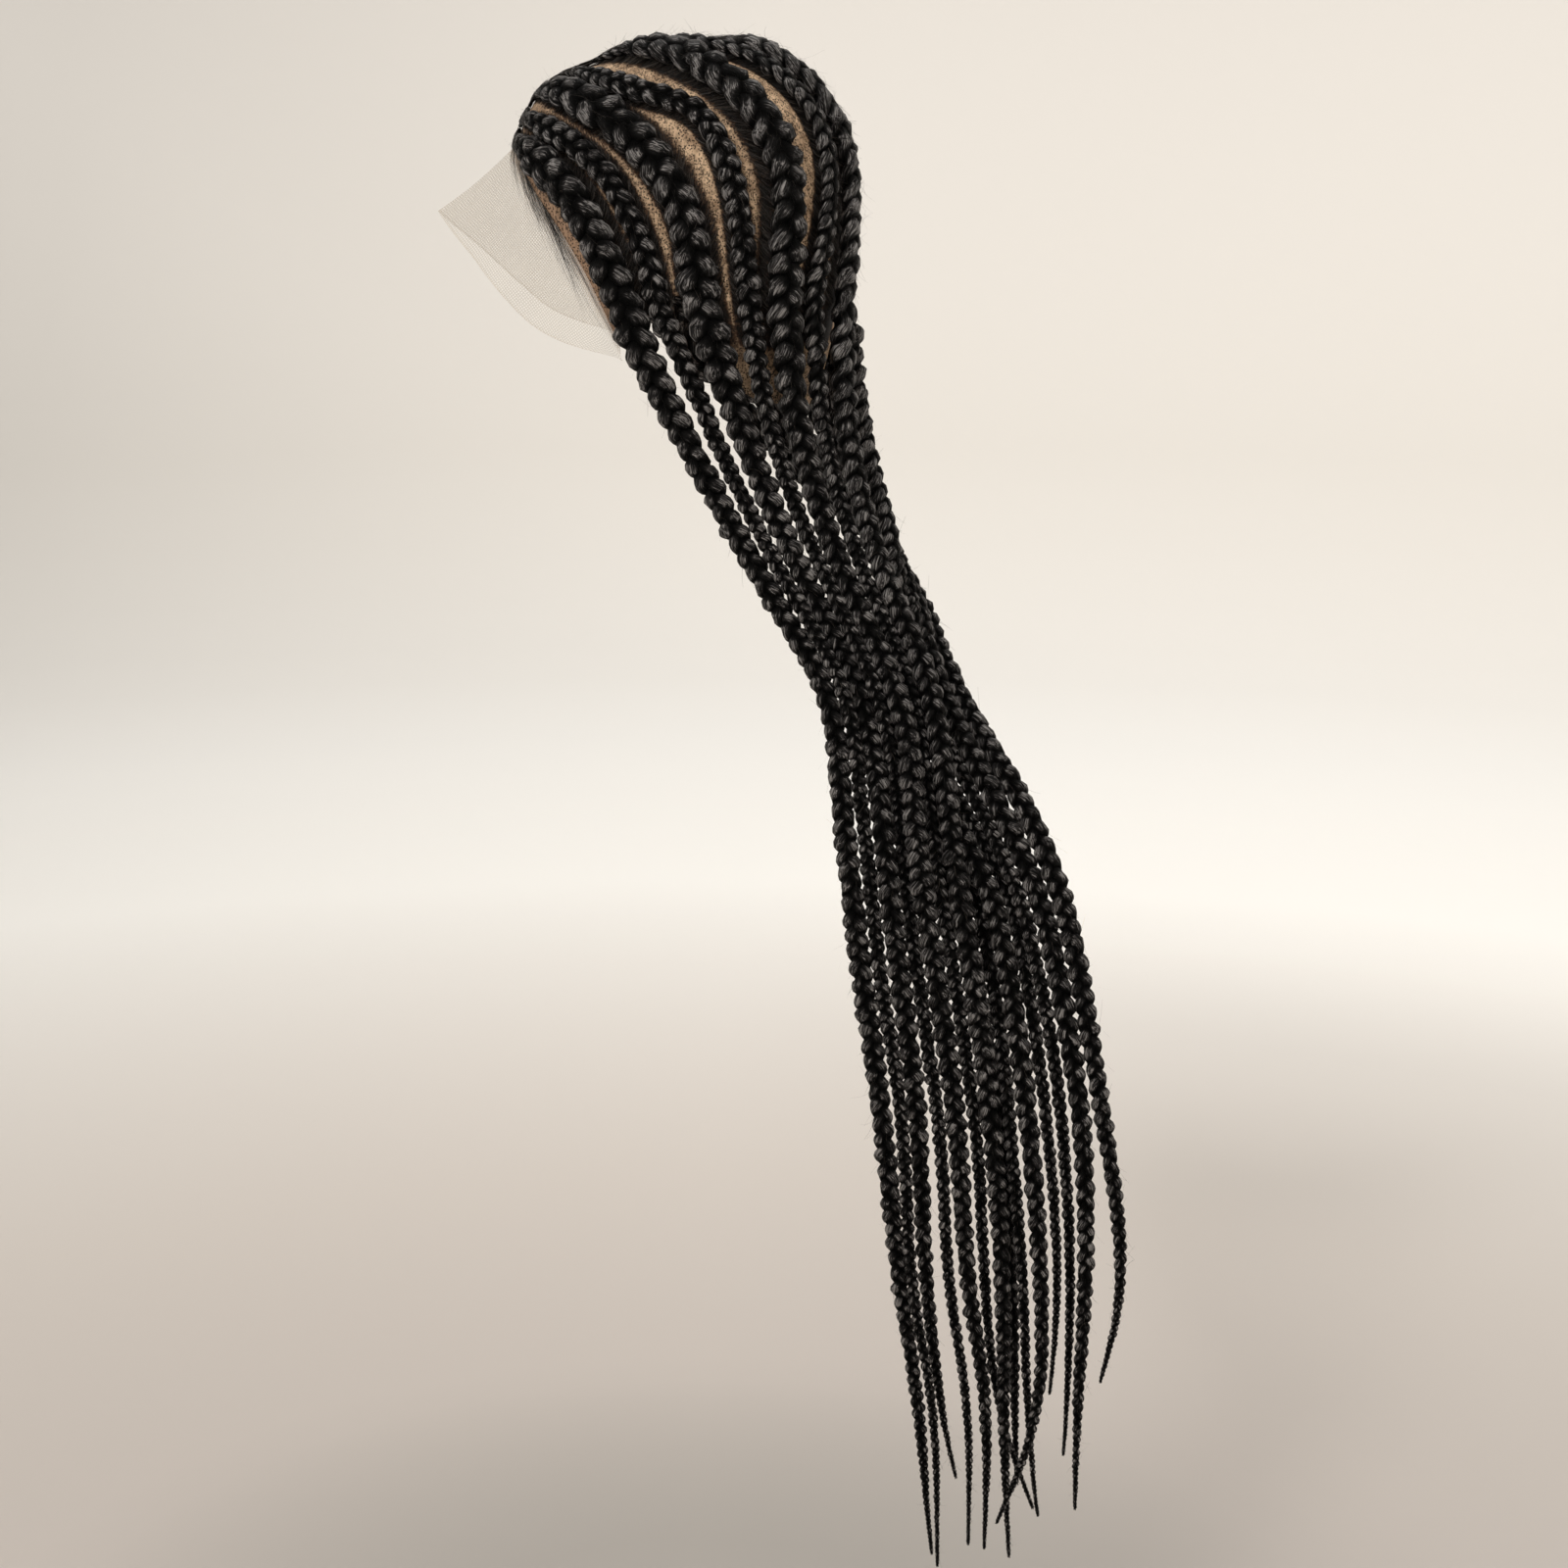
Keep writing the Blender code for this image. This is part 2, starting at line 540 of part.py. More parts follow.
def settle_routes():
    """Every plait's middle line, with the hanging parts clear of each other and of the head."""
    wanted = [wanted_route(plait) for plait in PLAITS]
    on_cap = [cap_route(plait) for plait in PLAITS]
    levels = -np.arange(FIRST_LEVEL, HAIR_LENGTH, LEVEL_STEP)
    place = np.zeros((len(PLAITS), len(levels), 2))
    there = np.zeros((len(PLAITS), len(levels)), bool)
    held = np.zeros((len(PLAITS), len(levels)), bool)
    width = np.zeros((len(PLAITS), len(levels)))
    for i, (plait, line) in enumerate(zip(PLAITS, wanted)):
        lowest = np.minimum.accumulate(line[:, 2])
        falling = line[:, 2] <= lowest + 1e-9
        drop = -line[falling, 2]
        for k in range(2):
            place[i, :, k] = np.interp(-levels, drop, line[falling, k])
        there[i] = levels >= line[-1, 2]
        held[i] = levels > on_cap[i][-1, 2]
        leave = on_cap[i][-1, 2]
        width[i] = width_hanging(plait, (levels - leave) / (line[-1, 2] - leave))
    target = place.copy()
    need = (width[:, None] + width[None]) / 2 + PLAIT_GAP
    for turn in range(SETTLING_ROUNDS + LAST_ROUNDS):
        slope = np.gradient(place, levels, axis=1)
        move = np.zeros_like(place)
        for k in range(len(levels)):
            move[:, k] = push_apart(place[:, k], slope[:, k], need[:, :, k], there[:, k])
        if turn < SETTLING_ROUNDS:
            inner = there[:, 1:-1] & there[:, 2:] & ~held[:, 1:-1]
            bend = place[:, :-2] - 2 * place[:, 1:-1] + place[:, 2:]
            move[:, 1:-1] += np.where(inner[..., None], bend * STRAIGHTENING, 0.0)
            move += (target - place) * PULLING_BACK
        place = np.where(held[..., None], place, place + move)
        thick = width * FLATNESS_HANGING
        place = np.where(held[..., None], place, keep_off_head(place, levels, thick))
    routes = []
    for i, line in enumerate(wanted):
        free = there[i] & ~held[i] & (levels < on_cap[i][-1, 2] - LEVEL_STEP / 2)
        hanging = np.column_stack([place[i][free], levels[free]])
        tip = [*hanging[-1, :2] * 2 - hanging[-2, :2], line[-1, 2]]
        if hanging[-1, 2] - tip[2] < LEVEL_STEP / 2:
            hanging = hanging[:-1]
        routes.append((on_cap[i], np.vstack([hanging, tip])))
    return routes


def facing(centres, on_cap):
    """The direction that the flat side of a plait faces, for each of its sections."""
    normal = cap_normal(centres)
    start = normal[on_cap - 1]
    first = math.degrees(math.atan2(start[0], -start[1])) % 360.0
    turned = smooth_step((centres[on_cap - 1, 2] - centres[:, 2]) / (FACING_DROP * HAIR_LENGTH))
    turned[:on_cap] = 0.0
    angle = np.radians(first + (FACING_ANGLE - first) * turned)
    free = np.column_stack([np.sin(angle), -np.cos(angle), np.zeros(len(angle))])
    hanging = np.where(np.arange(len(centres)) >= on_cap, 1.0, 0.0)[:, None]
    return unit(normal * (1 - hanging) + free * hanging)


def sections_of(hanging):
    """Which levels of a hanging plait get a section: the same levels on every plait, and the tip."""
    level = np.round((-hanging[:-1, 2] - FIRST_LEVEL) / LEVEL_STEP).astype(int)
    upper = -hanging[:-1, 2] < GATHERED * HAIR_LENGTH
    step = np.where(upper, UPPER_SECTION_LEVELS, LOWER_SECTION_LEVELS)
    picked = np.flatnonzero(level % step == 0)
    return [*picked, len(hanging) - 1]


def make_plait(plait, route, material):
    """A closed tapering tube along a plait's middle line, flat on the cap and rounder below."""
    cap_line, hanging = route
    on_cap = math.ceil(distances(cap_line)[-1] / SECTION_STEP) + 1
    cap_part = along_line(cap_line, np.linspace(0.0, 1.0, on_cap))
    free_part = hanging[sections_of(hanging)]
    centres = np.vstack([cap_part, free_part])
    lengths = distances(centres)
    fall = (free_part[:, 2] - cap_part[-1, 2]) / (free_part[-1, 2] - cap_part[-1, 2])
    width = np.concatenate([width_on_cap(plait, distances(cap_part)), width_hanging(plait, fall)])
    height = width * FLATNESS_ON_CAP
    height[on_cap:] = width[on_cap:] * flatness_hanging(fall)
    tangent = unit(np.gradient(centres, lengths, axis=0))
    outward = facing(centres, on_cap)
    sideways = unit(np.cross(tangent, outward))
    outward = unit(np.cross(sideways, tangent))
    points = []
    for k in range(len(centres)):
        for corner in range(SIDES):
            angle = 2 * math.pi * corner / SIDES
            across = sideways[k] * math.sin(angle) * width[k] / 2
            points.append(centres[k] + across - outward[k] * math.cos(angle) * height[k] / 2)
    last = (len(centres) - 1) * SIDES
    faces = [tuple(range(SIDES)), tuple(last + c for c in range(SIDES))]
    for start in range(0, last, SIDES):
        for c in range(SIDES):
            after = (c + 1) % SIDES
            faces.append((start + c, start + after, start + SIDES + after, start + SIDES + c))
    return make_object(plait.name, points, faces, material)


def main():
    clear_scene()
    make_lace_cap(make_material("scalp_lace", LACE_TAN, 0.75))
    make_lace_front(make_material("sheer_lace", LACE_SHEER, 0.7))
    hair = make_material("plaited_hair", HAIR_BLACK, 0.45)
    for plait, route in zip(PLAITS, settle_routes()):
        make_plait(plait, route, hair)


main()
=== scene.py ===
"""The looks of a long plaited wig: strands, stray hair, the lace scalp and the sheer lace in front.

Metres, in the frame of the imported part: +Z up, -Y the front of the face, +X the wearer's left, and
the origin at the inner crown of the cap.
"""

import math
from collections import namedtuple

import bmesh
import bpy
import numpy as np
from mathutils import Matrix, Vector
from mathutils.kdtree import KDTree


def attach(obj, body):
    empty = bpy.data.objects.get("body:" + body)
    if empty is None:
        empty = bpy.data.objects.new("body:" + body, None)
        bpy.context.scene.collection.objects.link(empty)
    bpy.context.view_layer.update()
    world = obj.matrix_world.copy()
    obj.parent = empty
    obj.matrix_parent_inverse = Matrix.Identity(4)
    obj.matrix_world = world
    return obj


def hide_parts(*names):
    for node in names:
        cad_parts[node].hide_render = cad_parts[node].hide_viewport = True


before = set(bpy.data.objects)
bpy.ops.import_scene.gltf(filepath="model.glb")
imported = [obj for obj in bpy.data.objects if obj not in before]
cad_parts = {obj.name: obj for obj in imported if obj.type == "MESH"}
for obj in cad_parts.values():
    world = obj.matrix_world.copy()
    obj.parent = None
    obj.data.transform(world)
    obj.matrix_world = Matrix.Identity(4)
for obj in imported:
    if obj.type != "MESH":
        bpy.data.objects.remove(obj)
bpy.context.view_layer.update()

# The cap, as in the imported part: half sizes of its outer face, its wall and how square it is. The
# crown table says how much further out it stands over the parting, by pitch from the forehead, and
# the edge table how far below the crown its edge lies, by angle from the front. NET_WALL is the
# thinner wall that the lace is drawn with.
CAP_HALF_WIDTH = 0.077
CAP_HALF_LENGTH = 0.098
CAP_CROWN_RISE = 0.097
CAP_LOWER_DEPTH = 0.172
CAP_SQUARENESS = 2.4
CAP_WALL = 0.0015
NET_WALL = 0.0006
CROWN_PITCHES = (0, 12, 25, 37, 46, 54, 62, 70, 80, 180)
CROWN_RISES = (0.0, 0.020, 0.045, 0.050, 0.034, 0.004, -0.020, -0.014, 0.0, 0.0)
NORMAL_STEP = 0.0005
CAP_EDGE_ANGLES = (0, 8, 27, 43, 52, 58, 64, 71, 80, 90, 100, 110, 120, 140, 180)
CAP_EDGE_DROPS = (0.58, 0.60, 0.82, 1.11, 1.34, 1.54, 1.72, 1.66, 1.50, 1.46, 1.58, 1.83, 2.03, 2.14, 2.20)
CAP_RINGS = 100
CAP_COLUMNS = 280
HAIRLINE_ANGLE = 66
HAIRLINE_POINTS = 400
HAIRLINE_FADE = 0.022

# The lace in front of the hairline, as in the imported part.
LACE_REACH = 0.147
LACE_DROP = 0.096
LACE_SPAN = 64.0
LACE_FOLD = 0.004
LACE_START = 0.0002
LaceEdge = namedtuple("LaceEdge", "along angle out drop")
LACE_EDGE = (
    LaceEdge(0.00, 0, 1.00, 1.00),
    LaceEdge(0.25, 16, 0.87, 1.27),
    LaceEdge(0.50, 30, 0.80, 1.51),
    LaceEdge(0.65, 38, 0.74, 1.66),
    LaceEdge(0.80, 48, 0.675, 1.76),
    LaceEdge(1.00, 67, 0.555, 1.86),
)
LACE_COLUMNS = 121
LACE_ROWS = 33
LACE_RIPPLE = 0.0007
LACE_HEM_START = 0.965
LACE_TAN_REACH = 0.012

# The plaits. Their routes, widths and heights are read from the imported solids' rings of corners.
SIDES_OF_SOLID = 8
PLAIT_NAMES = [f"{side}_{row}" for side in ("left", "right") for row in range(1, 8)]
STRANDS = 3
STRAND_SIDES = 10
STRAND_HALF_WIDTH = 0.25
STRAND_HALF_HEIGHT = 0.31
PROUD_ON_CAP = 1.05
PROUD_HANGING = 1.15
PITCH_ON_CAP = 0.48
PITCH_ON_CAP_LEAST = 0.0029
PITCH_HANGING = 0.76
PITCH_AT_TIP = 1.02
FIBRE_LEAN = 0.40
FLAT_ON_CAP = 0.55
FLAT_HANGING = 0.80

# How finely a plait's rings are placed: rings for each full turn of its pattern, in a short and a
# long turn.
COARSE_PERIOD = 0.030
FINE_PERIOD = 0.012
RINGS_IN_TURN = (10.0, 16.0)

# Where the pitch of a hanging plait starts to change to the tip's, and over how much of its length.
TO_TIP_START = 0.55
TO_TIP_LENGTH = 0.35

# How uneven the work of the hand is: how much the pitch, a strand's size and its place across and
# out of the plait change, each with the longest wave of the change.
WAVES_IN_SUM = 6
TIGHTNESS = 0.05
TIGHTNESS_LENGTH = 0.12
SWELL = 0.11
SWELL_LENGTH = 0.020
SWAY_ACROSS = 0.07
SWAY_ACROSS_LENGTH = 0.04
SWAY_OUT = 0.035
SWAY_OUT_LENGTH = 0.03

# The form of a strand: low ridges that wander round it, thin where it crosses the plait's middle, plump
# at the sides, fuller where it lies on top, and round at its ends.
RIDGES = 3
RIDGE = 0.06
RIDGE_LENGTH = 0.03
RIDGE_TURN = 1.5
THIN_AT_CROSSING = 0.70
PLUMP_AT_SIDE = 0.32
FULLER_ON_TOP = 0.10
ROUND_TIP = 0.003
ROUND_ROOT = 0.004

# Strands are painted black as shade in the creases, up to CREASE_END of the way out from the plait's middle,
# and painted lighter further out, as sheen on their crowns.
CREASE_END = 0.66
CREASE_FADE = 0.32

# How many of the nearest places on the plaits tell how free of hair a point of the cap is.
NEAREST_SPOTS = 14

# How wide a band along the middle parting is covered with hair, where the band ends at the back, and
# how long and high its small lumps are.
MIDDLE_BAND = 0.006
MIDDLE_FADE = 0.007
MIDDLE_END = 0.055
LUMP_LENGTH = 0.0055
LUMP_HEIGHT = 0.0010

# Hair that is fed in beside each row: how far out its roots lie in front of the row and behind it, which is
# also how far out the scalp is painted dark, as roots and shade.
Feed = namedtuple("Feed", "front back")
FEEDS = (
    Feed(0.0030, 0.0045),
    Feed(0.0020, 0.0030),
    Feed(0.0030, 0.0075),
    Feed(0.0022, 0.0030),
    Feed(0.0050, 0.0030),
    Feed(0.0022, 0.0022),
    Feed(0.0035, 0.0035),
)

# Single hairs. A span is the least and the most that a random number can be.
Span = namedtuple("Span", "least most")

# Hair fed in from the partings: its width and spacing, how far past the place where the row leaves the
# cap it goes on, how it crowds near the row, where in the row's width it ends and how high, and how
# high it starts and how it bows.
FEED_WIDTH = Span(0.00014, 0.00030)
FEED_SPACING = 0.00030
FEED_PAST_CAP = 0.012
FEED_CROWDING = 1.3
FEED_INTO = Span(0.22, 0.42)
FEED_RISE = Span(0.14, 0.30)
FEED_LIFT = 0.00015
FEED_BOW = 0.0006

# Hair from the middle parting into the start of a row: how far along the row it ends, where it starts
# across the parting, how high it lies there, and where it ends in the row's width and height.
ROOT_HAIRS = 600
ROOT_WIDTH = Span(0.00016, 0.00034)
ROOT_ENDS = Span(0.004, 0.030)
ROOT_ACROSS = Span(-0.0020, 0.0040)
ROOT_LIFT = Span(0.0002, 0.0020)
ROOT_INTO = Span(-0.40, 0.40)
ROOT_RISE = Span(0.5, 0.95)

# Baby hair in wisps: where a wisp starts and how far it sweeps, in degrees round the hairline from the
# middle of the brow, how far it lies from the hairline and how far its end curls.
WISPS = 16
WISP_HAIRS = Span(7, 15)
WISP_WIDTH = Span(0.00012, 0.00022)
WISP_START = Span(3.0, 42.0)
WISP_SWEEP = Span(12.0, 27.0)
WISP_OUT = Span(0.0015, 0.0120)
WISP_CURL = Span(-0.004, 0.007)
WISP_SPREAD = 1.8
WISP_WAVE = 0.0012
WISP_LIFT = 0.0005

# Stray hair: its width and spacing along a plait, how long it is, how it leans, strays and bends, and
# how deep in the plait it starts.
STRAY_WIDTH = Span(0.00009, 0.00018)
STRAY_SPACING = 0.00078
STRAY_LENGTH = Span(0.002, 0.012)
STRAY_USUAL = 0.0026
STRAY_LEAN = Span(0.05, 0.55)
STRAY_SPREAD = 0.15
STRAY_BEND = 0.30
STRAY_START = 0.85

# The stage: a floor that bends up into a round wall, and the painted light and shade of its paper by its
# distance from the crown, as a share of the wall's radius: painted shade on the floor under the wig and a
# painted bright band further out.
FLOOR_HEIGHT = -1.06
FLOOR_RADIUS = 3.4
BEND_RADIUS = 1.6
WALL_RADIUS = FLOOR_RADIUS + BEND_RADIUS
STAGE_SIDES = 96
PAPER_LIGHT_AND_SHADE_TONES = (
    (0.215, (0.40, 0.370, 0.340)),
    (0.232, (0.62, 0.560, 0.520)),
    (0.282, (0.69, 0.635, 0.590)),
    (0.350, (0.78, 0.745, 0.710)),
    (0.458, (0.93, 0.930, 0.915)),
    (0.623, (0.75, 0.750, 0.740)),
    (0.876, (0.54, 0.520, 0.490)),
    (1.000, (0.55, 0.530, 0.505)),
)

# The photograph's viewpoint, and the lights: softness is the angle of each in the sky, in degrees.
CAMERA_PLACE = (1.933, 0.063, 0.0)
CAMERA_TILT = 76.8
CAMERA_TURN = 90.0
CAMERA_LENS = 72.0
CAMERA_SENSOR = 36.0
Light = namedtuple("Light", "name place softness strength colour")
LIGHTS = (
    Light("key_light", (2.2, -1.2, 2.0), 16.0, 2.3, (1.0, 0.97, 0.93)),
    Light("fill_light", (1.5, 2.2, 1.1), 30.0, 0.7, (1.0, 0.98, 0.96)),
    Light("back_light", (-2.3, 0.4, 2.4), 30.0, 0.8, (1.0, 0.98, 0.95)),
)

# The even light from all sides.
WORLD_COLOUR = (1.0, 0.97, 0.92, 1.0)
WORLD_STRENGTH = 0.5

# How fine the patterns are, in cells for each metre. A stretch shrinks a place along its last axis, so
# that the pattern is drawn long that way.
FIBRE_SCALE = 1700.0
FIBRE_STRETCH = (1.0, 1.0, 0.07)
LOCK_SCALE = 640.0
LOCK_STRETCH = (1.0, 1.0, 0.12)
PATCH_SCALE = 160.0
KNOT_SCALE = 680.0
DASH_SCALE = 900.0
DASH_STRETCH = (1.0, 1.0, 0.35)
NET_SCALE = 620.0

# Colours. A list of tones gives places on a ramp and their colours, from the darkest up.
# The hair's ramp runs from black, painted as shade in the creases, up to a grey that is painted sheen on the
# crowns.
HAIR_SHADE_AND_SHEEN_TONES = (
    (0.16, (0.0003, 0.0003, 0.0003)),
    (0.35, (0.0060, 0.0056, 0.0057)),
    (0.48, (0.0640, 0.0600, 0.0605)),
    (0.66, (0.3600, 0.3450, 0.3400)),
)
SINGLE_HAIR_TONES = (
    (0.00, (0.0020, 0.0018, 0.0016)),
    (0.55, (0.0100, 0.0085, 0.0075)),
    (1.00, (0.1150, 0.0980, 0.0860)),
)
SCALP_TONES = ((0.36, (0.38, 0.250, 0.155)), (0.64, (0.86, 0.620, 0.410)))
HAIRLINE_TAN = (0.43, 0.275, 0.180)
KNOT_COLOUR = (0.018, 0.012, 0.010)
NET_TONES = ((0.3, (0.58, 0.49, 0.36)), (0.7, (0.72, 0.63, 0.49)))
NET_TAN = (0.36, 0.22, 0.13)
BLACK = (0.0, 0.0, 0.0)
GREY = (0.3, 0.3, 0.3)
WHITE = (1.0, 1.0, 1.0)

SEED = 20


def unit(vectors):
    """The vectors with a length of one."""
    return vectors / np.linalg.norm(vectors, axis=-1, keepdims=True)


def smooth_step(t):
    """A rise from 0 to 1 that starts and ends level."""
    t = np.clip(t, 0.0, 1.0)
    return t * t * (3.0 - 2.0 * t)


def distances(line):
    """How far along a line each of its points is."""
    return np.concatenate([[0.0], np.cumsum(np.linalg.norm(np.diff(line, axis=0), axis=1))])


def smooth_through(at, values, wanted):
    """Values read from a smooth curve through rows of known ones."""
    at = np.asarray(at, float)
    values = np.asarray(values, float).reshape(len(at), -1)
    slope = np.gradient(values, at, axis=0)
    i = np.clip(np.searchsorted(at, wanted) - 1, 0, len(at) - 2)
    h = (at[i + 1] - at[i])[:, None]
    t = (wanted - at[i])[:, None] / h
    first = (1 + 2 * t) * (1 - t) ** 2 * values[i] + h * t * (1 - t) ** 2 * slope[i]
    return first + t * t * (3 - 2 * t) * values[i + 1] - h * t * t * (1 - t) * slope[i + 1]


def waves(rng, longest):
    """A smooth random rise and fall, about one high, made of waves up to the longest one."""
    phase = rng.uniform(0, 2 * math.pi, WAVES_IN_SUM)
    turn = 2 * math.pi / (longest * rng.uniform(0.3, 1.0, WAVES_IN_SUM))
    return lambda at: np.sin(np.outer(at, turn) + phase).sum(axis=1) / math.sqrt(WAVES_IN_SUM / 2)


def smooth_table(x, table_x, table_y):
    """A value read from a table on a smooth curve that doesn't overshoot."""
    table_x = np.asarray(table_x, float)
    table_y = np.asarray(table_y, float)
    slope = np.diff(table_y) / np.diff(table_x)
    tangent = np.concatenate([[0.0], slope[:-1] + slope[1:], [0.0]]) / 2
    turns = np.concatenate([[True], slope[:-1] * slope[1:] <= 0, [True]])
    tangent[turns] = 0.0
    i = np.clip(np.searchsorted(table_x, x) - 1, 0, len(slope) - 1)
    h = table_x[i + 1] - table_x[i]
    t = (x - table_x[i]) / h
    rise = (1 + 2 * t) * (1 - t) ** 2 * table_y[i] + t * t * (3 - 2 * t) * table_y[i + 1]
    return rise + h * (t * (1 - t) ** 2 * tangent[i] - t * t * (1 - t) * tangent[i + 1])


# The cap's shape.


HEAD_CENTRE = np.array([0.0, 0.0, -CAP_CROWN_RISE])


def cap_half_sizes(height):
    """The cap's half axes for points above or below its widest level."""
    height = np.asarray(height)
    upright = np.where(height > 0, CAP_CROWN_RISE + CAP_WALL, CAP_LOWER_DEPTH)
    across = np.full(height.shape, CAP_HALF_WIDTH)
    return np.stack([across, np.full(height.shape, CAP_HALF_LENGTH), upright], axis=-1)


def cap_reach(directions):
    """How far from the middle of the head rays of length one meet the cap's outer face."""
    scaled = np.abs(directions / cap_half_sizes(directions[..., 2])) ** CAP_SQUARENESS
    plain = scaled.sum(axis=-1) ** (-1 / CAP_SQUARENESS)
    x, y, z = np.moveaxis(directions, -1, 0)
    pitch = np.degrees(np.arccos(np.clip(-y, -1.0, 1.0)))
    by_parting = np.clip(z, 0.0, None) ** 2 / np.maximum(x * x + z * z, 1e-9)
    return plain * (1.0 + smooth_table(pitch, CROWN_PITCHES, CROWN_RISES) * by_parting)


def cap_point(directions):
    """Where rays from the middle of the head meet the cap's outer face."""
    return HEAD_CENTRE + directions * cap_reach(directions)[..., None]


def cap_normal(points):
    """The outward direction of the cap's outer face."""
    from_centre = points - HEAD_CENTRE
    steep = []
    for step in np.eye(3) * NORMAL_STEP:
        ahead, behind = from_centre + step, from_centre - step
        out = np.linalg.norm(ahead, axis=-1) / cap_reach(unit(ahead))
        back = np.linalg.norm(behind, axis=-1) / cap_reach(unit(behind))
        steep.append(out - back)
    return unit(np.stack(steep, axis=-1))


def on_cap(points, lift=0.0):
    """Points moved straight out or in to the cap's outer face, and lifted off it."""
    surface = cap_point(unit(points - HEAD_CENTRE))
    return surface + cap_normal(surface) * np.asarray(lift)[..., None]


def edge_points(angles):
    """Points of the cap's edge on its outer face, at angles in degrees from the front."""
    angles = np.asarray(angles, float)
    wrapped = np.abs((angles + 180.0) % 360.0 - 180.0)
    height = -smooth_table(wrapped, CAP_EDGE_ANGLES, CAP_EDGE_DROPS) * CAP_CROWN_RISE
    turn = np.radians(angles)
    rise = height + CAP_CROWN_RISE
    upright = np.where(rise > 0, CAP_CROWN_RISE + CAP_WALL, CAP_LOWER_DEPTH)
    left = 1.0 - np.clip(np.abs(rise) / upright, 0.0, 0.999) ** CAP_SQUARENESS
    across = np.abs(np.sin(turn) / CAP_HALF_WIDTH) ** CAP_SQUARENESS
    along = np.abs(np.cos(turn) / CAP_HALF_LENGTH) ** CAP_SQUARENESS
    reach = (left / (across + along)) ** (1 / CAP_SQUARENESS)
    plain = np.stack([np.sin(turn) * reach, -np.cos(turn) * reach, height], axis=-1)
    return cap_point(unit(plain - HEAD_CENTRE))


# Meshes and materials.


def grid_faces(rows, columns, closed):
    """Four-cornered faces between rows of points; closed joins the last column to the first."""
    r = np.arange(rows - 1)[:, None]
    c = np.arange(columns if closed else columns - 1)[None]
    after = (c + 1) % columns
    corners = [r * columns + c, r * columns + after, (r + 1) * columns + after, (r + 1) * columns + c]
    return np.stack([np.broadcast_to(k, (rows - 1, c.shape[1])) for k in corners], axis=-1).reshape(-1, 4)


def make_piece(name, points, faces, material, values=None, places=None):
    """A smooth mesh piece that rides on the cap, with numbers or places kept at its points."""
    mesh = bpy.data.meshes.new(name)
    faces = np.asarray(faces)
    mesh.vertices.add(len(points))
    mesh.vertices.foreach_set("co", np.asarray(points, np.float32).ravel())
    mesh.loops.add(faces.size)
    mesh.loops.foreach_set("vertex_index", faces.ravel().astype(np.int32))
    mesh.polygons.add(len(faces))
    corners = faces.shape[1]
    mesh.polygons.foreach_set("loop_start", np.arange(0, faces.size, corners, dtype=np.int32))
    mesh.update(calc_edges=True)
    mesh.validate()
    mesh.shade_smooth()
    for key, value in (values or {}).items():
        layer = mesh.attributes.new(key, "FLOAT", "POINT")
        layer.data.foreach_set("value", np.asarray(value, np.float32).ravel())
    for key, value in (places or {}).items():
        layer = mesh.attributes.new(key, "FLOAT_VECTOR", "POINT")
        layer.data.foreach_set("vector", np.asarray(value, np.float32).ravel())
    mesh.materials.append(material)
    piece = bpy.data.objects.new(name, mesh)
    bpy.context.scene.collection.objects.link(piece)
    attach(piece, "root")
    return piece


